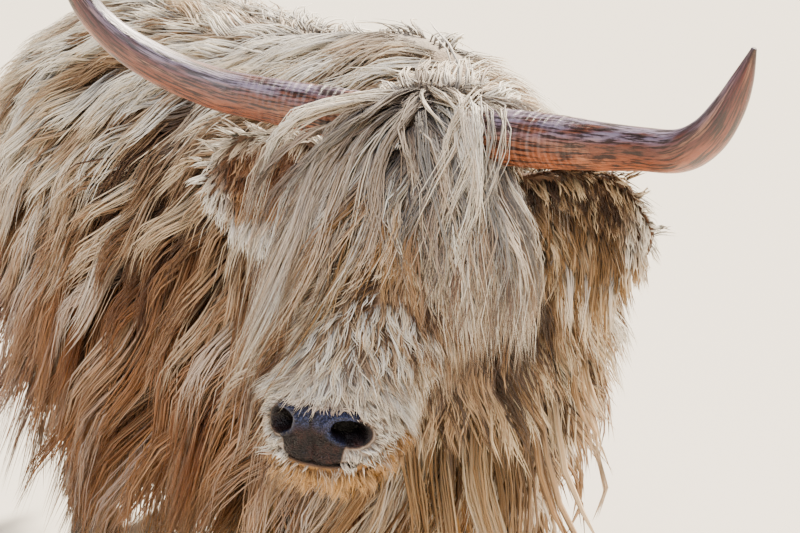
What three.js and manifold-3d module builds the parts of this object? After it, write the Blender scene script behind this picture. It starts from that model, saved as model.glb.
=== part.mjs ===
// A life-size highland cow that stands square with her head turned to her right.
// Millimetres. She faces -Y, her left side is +X, +Z is up, and the floor is z = 0.
import * as THREE from "three";
import { mergeVertices } from "three/addons/utils/BufferGeometryUtils.js";
import Module from "manifold-3d";

const wasm = await Module();
wasm.setup();

// ---------------------------------------------------------------- driving sizes
const GAP = 0.35; // what touching nodes keep between them
const WITHERS = 1060; // height of the bare back over the shoulders
// How far the undercoat, under the locks, stands off the skin at the sides, on top and underneath.
const UNDERCOAT = {
  trunk: { half: 26, top: 10, bottom: 34 },
  neck: { half: 20, top: 8, bottom: 30 },
  upper: { half: 12, top: 12, bottom: 12 },
  lower: { half: 5, top: 5, bottom: 5 },
};
const POLL = new THREE.Vector3(-270, -785, 1030); // the crown of the head, between the horns
const HEAD_YAW = -57; // degrees, to her right
const HEAD_ROLL = 2.5; // degrees, left side down
const FACE_SLOPE = 49; // degrees that the line of the face falls below level
const CORONET = 62; // height of a hoof
const EYE_RADIUS = 19;

const COLOURS = {
  coat: { color: "#cdbba0", roughness: 0.85, metalness: 0 },
  face: { color: "#d6c6ae", roughness: 0.8, metalness: 0 },
  nose: { color: "#2b2222", roughness: 0.35, metalness: 0 },
  horn: { color: "#7a4a35", roughness: 0.45, metalness: 0 },
  hoof: { color: "#3a322c", roughness: 0.6, metalness: 0 },
  eye: { color: "#17100c", roughness: 0.08, metalness: 0 },
  udder: { color: "#c79a86", roughness: 0.7, metalness: 0 },
};
const materials = Object.fromEntries(
  Object.entries(COLOURS).map(([name, look]) => [name, new THREE.MeshStandardMaterial(look)]),
);

// ---------------------------------------------------------------- small helpers
const vec = (x, y, z) => new THREE.Vector3(x, y, z);
const rad = THREE.MathUtils.degToRad;
const DOWN = vec(0, 0, -1);
const UP = vec(0, 0, 1);

// A seeded draw from -1 to 1, so that every build gives the same locks.
let seed = 17;
function vary() {
  seed = (seed * 1664525 + 1013904223) % 4294967296;
  return (seed / 4294967296) * 2 - 1;
}

// Reads a table of named sizes at t from 0 to 1, eased through its rows.
function along(rows, t) {
  const place = Math.min(Math.max(t, 0), 1) * (rows.length - 1);
  const i = Math.min(Math.floor(place), rows.length - 2);
  const f = place - i;
  const row = (k) => rows[Math.min(Math.max(k, 0), rows.length - 1)];
  const ease = (a, b, c, d) =>
    b + 0.5 * f * (c - a + f * (2 * a - 5 * b + 4 * c - d + f * (3 * (b - c) + d - a)));
  const sizes = {};
  for (const key of Object.keys(rows[0]))
    sizes[key] = ease(row(i - 1)[key], row(i)[key], row(i + 1)[key], row(i + 2)[key]);
  return sizes;
}

// Moves every corner out by grow, so that all of the faces around it move out by about that much.
function swelled(points, index, grow) {
  const corners = [];
  for (let i = 0; i < index.length; i += 3)
    for (const k of [0, 1, 2]) {
      const [p, q, r] = [0, 1, 2].map((n) => points[index[i + ((k + n) % 3)]]);
      const [ahead, behind] = [q.clone().sub(p), r.clone().sub(p)];
      const flat = ahead.clone().cross(behind).normalize();
      corners.push({ corner: index[i + k], flat, angle: ahead.angleTo(behind) });
    }
  const ways = points.map(() => vec(0, 0, 0));
  for (const { corner, flat, angle } of corners) ways[corner].addScaledVector(flat, angle);
  for (const way of ways) way.normalize();
  const least = points.map(() => 1);
  for (const { corner, flat } of corners)
    least[corner] = Math.min(least[corner], ways[corner].dot(flat));
  return points.map((p, i) => p.clone().addScaledVector(ways[i], grow / Math.max(least[i], 0.2)));
}

// A closed mesh as a solid that faces out.
function solid(points, triangles, grow = 0) {
  const index = [...triangles];
  let volume = 0;
  const cross = vec(0, 0, 0);
  for (let i = 0; i < index.length; i += 3)
    volume += points[index[i]].dot(cross.crossVectors(points[index[i + 1]], points[index[i + 2]]));
  if (volume < 0)
    for (let i = 0; i < index.length; i += 3)
      [index[i + 1], index[i + 2]] = [index[i + 2], index[i + 1]];
  const corners = grow ? swelled(points, index, grow) : points;
  return new wasm.Manifold(
    new wasm.Mesh({
      numProp: 3,
      vertProperties: new Float32Array(corners.flatMap((p) => p.toArray())),
      triVerts: new Uint32Array(index),
    }),
  );
}

// A solid through rings of points, with a fan at each end.
function skinned(rings, grow) {
  const sides = rings[0].length;
  const middle = (points) =>
    points.reduce((sum, p) => sum.add(p), vec(0, 0, 0)).divideScalar(sides);
  const points = [...rings.flat(), middle(rings[0]), middle(rings.at(-1))];
  const first = rings.length * sides;
  const index = [];
  for (let j = 0; j < sides; j++) {
    const next = (j + 1) % sides;
    index.push(first, next, j);
    index.push(first + 1, first - sides + j, first - sides + next);
    for (let a = 0; a < first - sides; a += sides)
      index.push(a + j, a + next, a + sides + next, a + j, a + sides + next, a + sides + j);
  }
  return solid(points, index, grow);
}

// A three.js geometry as a solid, after a matrix has placed it.
function placed(geometry, matrix, grow) {
  const bare = geometry.clone();
  bare.deleteAttribute("normal");
  bare.deleteAttribute("uv");
  const merged = mergeVertices(bare, 1e-3).applyMatrix4(matrix);
  const position = merged.getAttribute("position");
  const points = Array.from({ length: position.count }, (_, i) =>
    vec(0, 0, 0).fromBufferAttribute(position, i),
  );
  return solid(points, Array.from(merged.index.array), grow);
}

// One ring of a body: half as wide each way, with its own reach above and below, squarer as square
// grows over 2, and narrower towards the top by pinch.
function ring({ centre, right, up, half, top, bottom, square = 2, pinch = 0 }, sides) {
  return Array.from({ length: sides }, (_, j) => {
    const angle = (j / sides) * 2 * Math.PI;
    const [c, s] = [Math.cos(angle), Math.sin(angle)];
    const narrow = 1 - pinch * Math.max(s, 0) ** 2;
    const across = Math.sign(c) * Math.abs(c) ** (2 / square) * half * narrow;
    const high = Math.sign(s) * Math.abs(s) ** (2 / square) * (s > 0 ? top : bottom);
    return centre.clone().addScaledVector(right, across).addScaledVector(up, high);
  });
}

// Where a body's ring stands at t, and which ways it faces. upright says which way top is.
function station(rows, t, upright = UP) {
  const centre = (place) => {
    const { x, y, z } = along(rows, place);
    return vec(x, y, z);
  };
  const small = 1e-3;
  const ahead = centre(Math.min(t + small, 1)).sub(centre(Math.max(t - small, 0))).normalize();
  const right = vec(0, 0, 0).crossVectors(upright, ahead).normalize();
  const up = vec(0, 0, 0).crossVectors(ahead, right);
  return { ...along(rows, t), centre: centre(t), right, up, ahead };
}

// A body lofted along its own line through rows of x, y, z and ring sizes.
function body(rows, { upright, count, sides, square, grow }) {
  const rings = Array.from({ length: count }, (_, i) =>
    ring({ ...station(rows, i / (count - 1), upright), square }, sides),
  );
  return skinned(rings, grow);
}

// A point on a body at t, at an angle round from its right side (0) over its top (90).
function pointOn(rows, t, angle, upright) {
  const { centre, right, up, half, top, bottom, pinch = 0 } = station(rows, t, upright);
  const [c, s] = [Math.cos(rad(angle)), Math.sin(rad(angle))];
  const across = c * half * (1 - pinch * Math.max(s, 0) ** 2);
  return centre.addScaledVector(right, across).addScaledVector(up, s * (s > 0 ? top : bottom));
}

// ---------------------------------------------------------------- locks of hair
// What locks lie on: the faces of some solids, asked for the nearest place to a point.
class Surface {
  constructor(solids) {
    this.triangles = solids.flatMap((one) => {
      const { vertProperties: v, triVerts } = one.getMesh();
      const at = (i) => vec(v[3 * i], v[3 * i + 1], v[3 * i + 2]);
      return Array.from({ length: triVerts.length / 3 }, (_, i) => {
        const [a, b, c] = [0, 1, 2].map((k) => at(triVerts[3 * i + k]));
        const flat = new THREE.Triangle(a, b, c);
        const centre = flat.getMidpoint(vec(0, 0, 0));
        const reach = Math.max(...[a, b, c].map((p) => p.distanceTo(centre)));
        return { flat, centre, reach, normal: flat.getNormal(vec(0, 0, 0)) };
      });
    });
  }

  // The nearest point, and the way out there, shared smoothly between the faces around it.
  nearest(p) {
    const found = vec(0, 0, 0);
    let best = { distance: Infinity };
    for (const { flat, centre, reach, normal } of this.triangles) {
      if (centre.distanceTo(p) - reach > best.distance) continue;
      flat.closestPointToPoint(p, found);
      const distance = found.distanceTo(p);
      if (distance < best.distance) best = { distance, point: found.clone(), normal };
    }
    const spread = 60;
    const out = vec(0, 0, 0);
    for (const { centre, normal, flat } of this.triangles) {
      const away = centre.distanceTo(best.point);
      if (away < 2 * spread && normal.dot(best.normal) > 0)
        out.addScaledVector(normal, flat.getArea() * Math.exp(-((away / spread) ** 2)));
    }
    out.addScaledVector(best.normal, 1e-6).normalize();
    const height = p.clone().sub(best.point).dot(best.normal);
    return { point: best.point, out, height };
  }
}

// Sizes along a lock from its sunk root: how wide, how thick and how far off the surface, as shares.
const LOCK_SHAPE = [
  { at: 0, wide: 0.7, thick: 1, off: -0.5 },
  { at: 0.3, wide: 1, thick: 1, off: 0.75 },
  { at: 0.68, wide: 0.74, thick: 0.75, off: 1.25 },
  { at: 1, wide: 0, thick: 0, off: 1.45 },
];

// A flat lock that tapers to its tip. It starts at root, leans along flow, is kept off the surface
// and hangs as it leaves it. sway bends it sideways and lift raises all of it.
function lock(surface, { root, flow, length, width, thick, sway = 0, droop = 0.25, lift = 1 }) {
  const start = surface.nearest(root);
  const point = start.point.clone();
  let out = start.out;
  let way = flow.clone().normalize();
  const rings = [];
  let last = 0;
  for (const { at, wide, thick: share, off } of LOCK_SHAPE) {
    const step = (at - last) * length;
    last = at;
    const tangent = way.clone().addScaledVector(out, -Math.min(way.dot(out), 0)).normalize();
    const side = vec(0, 0, 0).crossVectors(out, tangent).normalize();
    way = tangent.clone().addScaledVector(side, sway * Math.sin(at * 4)).normalize();
    point.addScaledVector(way, step);
    const near = surface.nearest(point);
    const height = thick * off * lift;
    if (near.height < height || at === 0) point.addScaledVector(near.out, height - near.height);
    out = near.out.clone().addScaledVector(out, 0.6).normalize();
    way.addScaledVector(flow, 0.35).addScaledVector(DOWN, droop).normalize();
    const right = vec(0, 0, 0).crossVectors(way, out).normalize();
    const up = vec(0, 0, 0).crossVectors(right, way).normalize();
    if (at < 1)
      rings.push([
        point.clone().addScaledVector(right, (width / 2) * wide).addScaledVector(up, -thick * share * 0.35),
        point.clone().addScaledVector(up, thick * share * 0.65),
        point.clone().addScaledVector(right, (-width / 2) * wide).addScaledVector(up, -thick * share * 0.35),
      ]);
  }
  const points = [...rings.flat(), point.clone()];
  const tip = points.length - 1;
  const index = [0, 2, 1];
  for (let a = 0; a < tip; a += 3)
    for (let j = 0; j < 3; j++) {
      const [p, q] = [a + j, a + ((j + 1) % 3)];
      if (a + 3 < tip) index.push(p, q, q + 3, p, q + 3, p + 3);
      else index.push(p, q, tip);
    }
  return { plain: solid(points, index), grown: solid(points, index, GAP) };
}

// ---------------------------------------------------------------- trunk and neck
// half, top and bottom are the bare animal's, and the undercoat is added to them.
const TRUNK = [
  { x: 0, y: -615, z: 700, half: 40, top: 50, bottom: 60, pinch: 0 },
  { x: 0, y: -560, z: 700, half: 150, top: 180, bottom: 175, pinch: 0.2 },
  { x: 0, y: -445, z: 722, half: 230, top: 262, bottom: 258, pinch: 0.5 },
  { x: 0, y: -300, z: 740, half: 262, top: WITHERS - 740, bottom: 282, pinch: 0.58 },
  { x: 0, y: -100, z: 735, half: 278, top: 303, bottom: 288, pinch: 0.4 },
  { x: 0, y: 150, z: 730, half: 308, top: 298, bottom: 294, pinch: 0.16 },
  { x: 0, y: 400, z: 752, half: 302, top: 290, bottom: 272, pinch: 0.1 },
  { x: 0, y: 625, z: 790, half: 274, top: 266, bottom: 242, pinch: 0.12 },
  { x: 0, y: 780, z: 828, half: 224, top: 208, bottom: 194, pinch: 0.15 },
  { x: 0, y: 872, z: 862, half: 148, top: 124, bottom: 124, pinch: 0.1 },
  { x: 0, y: 908, z: 875, half: 58, top: 50, bottom: 50, pinch: 0 },
];
const NECK = [
  { x: 10, y: -330, z: 790, half: 150, top: 190, bottom: 240, pinch: 0.45 },
  { x: -20, y: -470, z: 830, half: 158, top: 178, bottom: 250, pinch: 0.5 },
  { x: -95, y: -600, z: 866, half: 142, top: 146, bottom: 215, pinch: 0.45 },
  { x: -170, y: -690, z: 898, half: 118, top: 122, bottom: 170, pinch: 0.35 },
  { x: -225, y: -740, z: 922, half: 98, top: 98, bottom: 120, pinch: 0.2 },
];

const padded = (rows, depth) =>
  rows.map((row) => ({
    ...row,
    half: row.half + depth.half,
    top: row.top + depth.top,
    bottom: row.bottom + depth.bottom,
  }));
const trunk = (grow) =>
  body(padded(TRUNK, UNDERCOAT.trunk), { count: 14, sides: 18, square: 2.25, grow });
const neck = (grow) => body(padded(NECK, UNDERCOAT.neck), { count: 6, sides: 16, grow });

// ---------------------------------------------------------------- head
// Built with the line of the face level and pointing to -Y, from the crown at the origin, and then carried.
const carried = new THREE.Matrix4()
  .makeTranslation(POLL)
  .multiply(new THREE.Matrix4().makeRotationZ(rad(HEAD_YAW)))
  .multiply(new THREE.Matrix4().makeRotationY(rad(HEAD_ROLL)));
const onFace = carried.clone().multiply(new THREE.Matrix4().makeRotationX(rad(FACE_SLOPE)));
const facePoint = (x, y, z) => vec(x, y, z).applyMatrix4(onFace);
const faceWay = (x, y, z) => vec(x, y, z).transformDirection(onFace);
const headPoint = (x, y, z) => vec(x, y, z).applyMatrix4(carried);
const headWay = (x, y, z) => vec(x, y, z).transformDirection(carried);

// s runs from the crown to the nose, z below the line of the face, and tilt leans each ring back as the nose does.
const SKULL = [
  { s: -62, z: -85, half: 48, top: 40, bottom: 50, tilt: 0 },
  { s: -35, z: -84, half: 84, top: 76, bottom: 84, tilt: 0 },
  { s: 40, z: -92, half: 106, top: 102, bottom: 112, tilt: 0 },
  { s: 115, z: -96, half: 114, top: 106, bottom: 114, tilt: 0 },
  { s: 180, z: -93, half: 98, top: 98, bottom: 100, tilt: 2 },
  { s: 250, z: -84, half: 76, top: 84, bottom: 82, tilt: 5 },
  { s: 312, z: -77, half: 68, top: 74, bottom: 69, tilt: 8 },
  { s: 350, z: -71, half: 70, top: 70, bottom: 62, tilt: 18 },
  { s: 380, z: -62, half: 74, top: 64, bottom: 58, tilt: 30 },
  { s: 402, z: -54, half: 70, top: 58, bottom: 52, tilt: 39 },
  { s: 415, z: -47, half: 62, top: 51, bottom: 46, tilt: 44 },
  { s: 424, z: -40, half: 49, top: 41, bottom: 37, tilt: 44 },
  { s: 431, z: -34, half: 28, top: 26, bottom: 22, tilt: 44 },
];
const MUZZLE_FROM = 318; // where the muzzle is parted from the rest of the face
const PAD_MIDDLE = { s: 424, z: -27 }; // middle of the bare nose
const PAD_LEAN = 44; // the bare nose leans this much back from square to the face

function skull(grow) {
  const count = 21;
  return skinned(
    Array.from({ length: count }, (_, i) => {
      const { s, z, half, top, bottom, tilt } = along(SKULL, i / (count - 1));
      const up = faceWay(0, Math.sin(rad(tilt)), Math.cos(rad(tilt)));
      const centre = facePoint(0, -s, z);
      return ring({ centre, right: faceWay(1, 0, 0), up, half, top, bottom, square: 2.35 }, 18);
    }),
    grow,
  );
}

// A slab that reaches far beyond the head on one side of s = from, to part it.
function beyond(from, forward) {
  const reach = 600;
  const shift = new THREE.Matrix4().makeTranslation(0, -from + (forward ? -reach : reach) / 2, 0);
  return placed(new THREE.BoxGeometry(reach, reach, reach), onFace.clone().multiply(shift));
}

// Places a shape on the face with +Z along the way it looks.
function looking(at, way, size = vec(1, 1, 1)) {
  const turn = new THREE.Quaternion().setFromUnitVectors(UP, way.clone().normalize());
  return onFace.clone().multiply(new THREE.Matrix4().compose(at, turn, size));
}
const EYE = { x: 97, y: -128, z: -50 };
const eyeAt = (side) => vec(side * EYE.x, EYE.y, EYE.z);
const eyeWay = (side) => vec(side, -0.38, 0.12);
const eyeball = (side, grow) =>
  placed(
    new THREE.SphereGeometry(EYE_RADIUS, 10, 7),
    looking(eyeAt(side), eyeWay(side)),
    grow,
  );

// The rim of lids round an eye, longer than it is high.
const LID = { radius: 19, thick: 6, long: 1.22, high: 0.92, out: 7 };
const lids = (side, grow) =>
  placed(
    new THREE.TorusGeometry(LID.radius, LID.thick, 5, 10),
    looking(
      eyeAt(side).addScaledVector(eyeWay(side).normalize(), LID.out),
      eyeWay(side),
      vec(LID.high, LID.long, 1),
    ),
    grow,
  );

// Nostrils open forward and out at each side of the bare nose.
const NOSTRIL = { x: 38, y: -406, z: -32, wide: 18, high: 13, deep: 26 };
const padUp = vec(0, Math.sin(rad(PAD_LEAN)), Math.cos(rad(PAD_LEAN)));
const padOut = vec(0, -Math.cos(rad(PAD_LEAN)), Math.sin(rad(PAD_LEAN)));
const nostrilWay = (side) => padOut.clone().add(vec(side * 0.95, 0, 0));
const nostril = (side, grow) =>
  placed(
    new THREE.SphereGeometry(1, 9, 6),
    looking(
      vec(side * NOSTRIL.x, NOSTRIL.y, NOSTRIL.z),
      nostrilWay(side),
      vec(NOSTRIL.wide, NOSTRIL.high, NOSTRIL.deep),
    ),
    grow,
  );
const nostrilRim = (side, grow) =>
  placed(
    new THREE.TorusGeometry(1, 0.3, 4, 10),
    looking(
      vec(side * (NOSTRIL.x + 1), NOSTRIL.y - 2, NOSTRIL.z + 1),
      nostrilWay(side),
      vec(NOSTRIL.wide + 4, NOSTRIL.high + 4, 14),
    ),
    grow,
  );

// The chin and lower lip, set back under the nose.
const CHIN = { s: 396, z: -105, half: 50, long: 48, high: 33 };
const chin = (grow) =>
  placed(
    new THREE.SphereGeometry(1, 14, 8),
    onFace
      .clone()
      .multiply(new THREE.Matrix4().makeTranslation(0, -CHIN.s, CHIN.z))
      .multiply(new THREE.Matrix4().makeScale(CHIN.half, CHIN.long, CHIN.high)),
    grow,
  );

// The line of the mouth: a thin slit round the front of the muzzle to its corners, not right through.
const MOUTH = { high: 3.5, from: 340, to: 520, z: -80, rise: 20 };
const TONGUE = { s: 330, half: 59, reach: 98 }; // what the slit leaves joined inside
function mouthLine() {
  const middle = -(MOUTH.from + MOUTH.to) / 2;
  const slab = placed(
    new THREE.BoxGeometry(260, MOUTH.to - MOUTH.from, MOUTH.high),
    onFace
      .clone()
      .multiply(new THREE.Matrix4().makeTranslation(0, middle, MOUTH.z))
      .multiply(new THREE.Matrix4().makeRotationX(rad(-MOUTH.rise))),
  );
  const inside = skinned(
    [-200, 0].map((z) =>
      ring(
        {
          centre: facePoint(0, -TONGUE.s, z),
          right: faceWay(1, 0, 0),
          up: faceWay(0, -1, 0),
          half: TONGUE.half,
          top: TONGUE.reach,
          bottom: TONGUE.reach,
          square: 3,
        },
        16,
      ),
    ),
  );
  return slab.subtract(inside);
}

// The bare nose is a rounded shield let into the front of the muzzle.
const PAD = { top: 62, waist: 52, bottom: 36, above: 33, below: 33, deep: 44 };
function padBlock(grow) {
  const shape = new THREE.Shape();
  shape.moveTo(-PAD.top + 14, PAD.above);
  shape.lineTo(PAD.top - 14, PAD.above);
  shape.quadraticCurveTo(PAD.top, PAD.above, PAD.top, PAD.above - 16);
  shape.quadraticCurveTo(PAD.waist, 0, PAD.bottom, -PAD.below + 8);
  shape.quadraticCurveTo(PAD.bottom - 2, -PAD.below, PAD.bottom - 14, -PAD.below);
  shape.lineTo(-PAD.bottom + 14, -PAD.below);
  shape.quadraticCurveTo(-PAD.bottom + 2, -PAD.below, -PAD.bottom, -PAD.below + 8);
  shape.quadraticCurveTo(-PAD.waist, 0, -PAD.top, PAD.above - 16);
  shape.quadraticCurveTo(-PAD.top, PAD.above, -PAD.top + 14, PAD.above);
  const block = new THREE.ExtrudeGeometry(shape, {
    depth: 90,
    bevelEnabled: false,
    curveSegments: 2,
  });
  const turn = new THREE.Matrix4().makeBasis(vec(1, 0, 0), padUp, padOut);
  const lean = new THREE.Matrix4()
    .makeTranslation(0, -PAD_MIDDLE.s, PAD_MIDDLE.z)
    .multiply(turn)
    .multiply(new THREE.Matrix4().makeTranslation(0, 0, -PAD.deep));
  return placed(block, onFace.clone().multiply(lean), grow);
}

const SIDES = { left: 1, right: -1 };
const both = (make) => Object.values(SIDES).map(make);
const joined = (pieces) => wasm.Manifold.union(pieces);

// The whole face with its features, before it is parted into head, muzzle and bare nose.
function face(grow) {
  const each = (make, size) => both((side) => make(side, size));
  const whole = joined([skull(grow), chin(grow), ...each(nostrilRim, grow), ...each(lids, grow)]);
  return whole.subtract(joined([...each(nostril, -grow), mouthLine()]));
}

// ---------------------------------------------------------------- horns and ears
// Placed on the carried head before the face's slope: x out, y forward is minus, z up.
const HORN = {
  left: [
    { x: 60, y: 12, z: -22, r: 33 },
    { x: 120, y: 2, z: -18, r: 33 },
    { x: 172, y: -5, z: -16, r: 32 },
    { x: 235, y: -22, z: -11, r: 28 },
    { x: 292, y: -45, z: -4, r: 25 },
    { x: 349, y: -75, z: 5, r: 24 },
    { x: 385, y: -93, z: 28, r: 22 },
    { x: 409, y: -102, z: 62, r: 18 },
    { x: 424, y: -108, z: 96, r: 12 },
    { x: 435, y: -112, z: 130, r: 4 },
  ],
  right: [
    { x: -60, y: 12, z: -20, r: 32 },
    { x: -125, y: 4, z: -15, r: 31 },
    { x: -184, y: -5, z: -10, r: 29 },
    { x: -234, y: -18, z: -4, r: 27 },
    { x: -276, y: -32, z: 4, r: 26 },
    { x: -333, y: -58, z: 26, r: 24 },
    { x: -386, y: -80, z: 58, r: 21 },
    { x: -425, y: -95, z: 98, r: 17 },
    { x: -452, y: -104, z: 146, r: 11 },
    { x: -466, y: -108, z: 190, r: 4 },
  ],
};
function horn(side, grow) {
  const rows = HORN[side].map(({ x, y, z, r }) => {
    const at = headPoint(x, y, z);
    return { x: at.x, y: at.y, z: at.z, half: r, top: r, bottom: r };
  });
  return body(rows, { count: 13, sides: 10, grow });
}

// An ear is a cupped leaf. out runs from its root to its tip, and its mouth opens forward.
const EAR = {
  left: { root: vec(100, 42, -92), tip: vec(292, 58, -136) },
  right: { root: vec(-118, 42, -88), tip: vec(-322, 66, -150) },
};
const EAR_ROWS = [
  { high: 46, deep: 30, hollow: 0 },
  { high: 66, deep: 36, hollow: 0.25 },
  { high: 98, deep: 42, hollow: 0.66 },
  { high: 114, deep: 40, hollow: 0.72 },
  { high: 108, deep: 34, hollow: 0.7 },
  { high: 76, deep: 25, hollow: 0.6 },
  { high: 18, deep: 11, hollow: 0.2 },
];
const EAR_SIDE_POINTS = 5;
function ear(side, grow) {
  const sign = SIDES[side];
  const root = headPoint(...EAR[side].root);
  const tip = headPoint(...EAR[side].tip);
  const out = tip.clone().sub(root).normalize();
  const mouth = headWay(sign * 0.25, -0.9, -0.32);
  const across = vec(0, 0, 0).crossVectors(out, mouth).normalize();
  const back = vec(0, 0, 0).crossVectors(across, out).normalize();
  if (back.dot(mouth) > 0) back.negate();
  const count = 8;
  const leaf = (t) => {
    const { high, deep, hollow } = along(EAR_ROWS, t);
    const centre = root.clone().lerp(tip, t);
    const arc = (tall, depth, j) => {
      const angle = rad(-90 + (180 * j) / EAR_SIDE_POINTS);
      return centre
        .clone()
        .addScaledVector(across, (tall / 2) * Math.sin(angle))
        .addScaledVector(back, depth * Math.cos(angle));
    };
    const outside = Array.from({ length: EAR_SIDE_POINTS + 1 }, (_, j) => arc(high, deep, j));
    const inside = Array.from({ length: EAR_SIDE_POINTS - 1 }, (_, j) =>
      arc(high - 4, deep * hollow - 3, EAR_SIDE_POINTS - 1 - j),
    );
    return [...outside, ...inside];
  };
  return skinned(
    Array.from({ length: count }, (_, i) => leaf(i / (count - 1))),
    grow,
  );
}

// ---------------------------------------------------------------- legs, feet, tail and udder
// x is for the left leg, and top is the reach forward. step moves the foot and fades out up the leg.
const LEG_TOP = 720;
const FORE = {
  upper: [
    { x: 166, y: -330, z: 720, half: 58, top: 84, bottom: 92 },
    { x: 172, y: -326, z: 620, half: 64, top: 80, bottom: 92 },
    { x: 164, y: -318, z: 510, half: 54, top: 62, bottom: 72 },
    { x: 154, y: -320, z: 410, half: 43, top: 48, bottom: 52 },
    { x: 149, y: -328, z: 325, half: 45, top: 50, bottom: 48 },
    { x: 147, y: -330, z: 268, half: 37, top: 41, bottom: 43 },
  ],
  lower: [
    { x: 147, y: -330, z: 267.5, half: 37, top: 41, bottom: 43 },
    { x: 145, y: -329, z: 200, half: 32, top: 35, bottom: 39 },
    { x: 144, y: -331, z: 128, half: 38, top: 38, bottom: 44 },
    { x: 144, y: -346, z: 90, half: 34, top: 32, bottom: 38 },
    { x: 144, y: -360, z: CORONET + GAP, half: 40, top: 36, bottom: 42 },
  ],
  step: { left: -45, right: 30 },
  footY: -362,
  footX: 144,
};
const HIND = {
  upper: [
    { x: 142, y: 655, z: 780, half: 88, top: 165, bottom: 150 },
    { x: 152, y: 640, z: 680, half: 92, top: 150, bottom: 150 },
    { x: 160, y: 645, z: 580, half: 76, top: 108, bottom: 120 },
    { x: 156, y: 690, z: 490, half: 56, top: 72, bottom: 72 },
    { x: 148, y: 747, z: 415, half: 42, top: 56, bottom: 62 },
    { x: 143, y: 757, z: 350, half: 38, top: 45, bottom: 48 },
  ],
  lower: [
    { x: 143, y: 757, z: 349.5, half: 38, top: 45, bottom: 48 },
    { x: 141, y: 751, z: 240, half: 32, top: 37, bottom: 40 },
    { x: 140, y: 747, z: 132, half: 38, top: 40, bottom: 44 },
    { x: 140, y: 733, z: 92, half: 34, top: 33, bottom: 38 },
    { x: 140, y: 719, z: CORONET + GAP, half: 40, top: 36, bottom: 42 },
  ],
  step: { left: 40, right: -50 },
  footY: 717,
  footX: 140,
};
const LEGS = { fore: FORE, hind: HIND };

function legRows(leg, part, side) {
  return LEGS[leg][part].map((row) => ({
    ...row,
    x: SIDES[side] * row.x,
    y: row.y + LEGS[leg].step[side] * (1 - row.z / LEG_TOP) * (row.z < LEG_TOP ? 1 : 0),
  }));
}
const limb = (leg, part, side, grow) =>
  body(padded(legRows(leg, part, side), UNDERCOAT[part]), {
    upright: vec(0, -1, 0),
    count: part === "upper" ? 8 : 6,
    sides: 9,
    square: 2.2,
    grow,
  });

// Half of a cloven hoof: a flat sole, an upright heel and a sloping toe.
const CLAW = [
  { z: 0, half: 23, toe: 66, heel: 40, out: 25.5 },
  { z: 6, half: 24, toe: 65, heel: 41, out: 26 },
  { z: 34, half: 22, toe: 48, heel: 39, out: 24 },
  { z: CORONET, half: 19.5, toe: 32, heel: 34, out: 21 },
];
function foot(leg, side, z) {
  const { step, footX, footY } = LEGS[leg];
  return { x: SIDES[side] * footX, y: footY + step[side] * (1 - z / LEG_TOP) };
}
function claw(leg, side, inner, grow) {
  const at = foot(leg, side, 0);
  const way = SIDES[side] * (inner ? -1 : 1);
  return skinned(
    CLAW.map(({ z, half, toe, heel, out }) =>
      ring(
        {
          centre: vec(at.x + way * out, at.y, z),
          right: vec(1, 0, 0),
          up: vec(0, -1, 0),
          half,
          top: toe,
          bottom: heel,
          square: 2.3,
        },
        10,
      ),
    ),
    grow,
  );
}
const DEWCLAW = { z: 104, back: 72, out: 20, rows: [6, 13, 14, 6], drop: 12 };
function dewclaw(leg, side, inner, grow) {
  const at = foot(leg, side, DEWCLAW.z);
  const way = SIDES[side] * (inner ? -1 : 1);
  return skinned(
    DEWCLAW.rows.map((half, i) =>
      ring(
        {
          centre: vec(
            at.x + way * DEWCLAW.out,
            at.y + DEWCLAW.back - i * 2,
            DEWCLAW.z + (1.5 - i) * DEWCLAW.drop,
          ),
          right: vec(1, 0, 0),
          up: vec(0, -1, 0),
          half,
          top: half,
          bottom: half,
        },
        7,
      ),
    ),
    grow,
  );
}

const TAIL = [
  { x: 0, y: 800, z: 905, half: 40, top: 38, bottom: 38 },
  { x: 0, y: 880, z: 918, half: 36, top: 34, bottom: 34 },
  { x: 3, y: 940, z: 880, half: 31, top: 28, bottom: 28 },
  { x: 9, y: 968, z: 800, half: 26, top: 24, bottom: 24 },
  { x: 15, y: 979, z: 700, half: 23, top: 21, bottom: 21 },
  { x: 20, y: 980, z: 600.2, half: 22, top: 20, bottom: 20 },
];
const SWITCH = [
  { x: 20, y: 980, z: 599.8, half: 22, top: 20, bottom: 20 },
  { x: 22, y: 980, z: 540, half: 34, top: 30, bottom: 30 },
  { x: 24, y: 980, z: 450, half: 40, top: 34, bottom: 34 },
  { x: 25, y: 980, z: 360, half: 34, top: 28, bottom: 28 },
  { x: 26, y: 980, z: 270, half: 10, top: 8, bottom: 8 },
];
const tail = (grow) => body(TAIL, { count: 9, sides: 8, upright: vec(0, 1, 0.3), grow });
const tailSwitch = (grow) => body(SWITCH, { count: 5, sides: 8, upright: vec(0, 1, 0), grow });

const UDDER = { y: 480, z: 440, half: 98, long: 125, high: 78 };
const TEAT = { x: 48, y: 52, top: 14, tip: 9, long: 42 };
function udder(grow) {
  const bag = placed(
    new THREE.SphereGeometry(1, 12, 7),
    new THREE.Matrix4()
      .makeTranslation(0, UDDER.y, UDDER.z)
      .multiply(new THREE.Matrix4().makeScale(UDDER.half, UDDER.long, UDDER.high)),
    grow,
  );
  const teat = (x, y) =>
    placed(
      new THREE.CylinderGeometry(TEAT.top, TEAT.tip, TEAT.long, 6),
      new THREE.Matrix4()
        .makeTranslation(x * TEAT.x, UDDER.y + y * TEAT.y, UDDER.z - UDDER.high - 2)
        .multiply(new THREE.Matrix4().makeRotationX(Math.PI / 2)),
      grow,
    );
  return joined([bag, ...both((x) => both((y) => teat(x, y))).flat()]);
}

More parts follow.
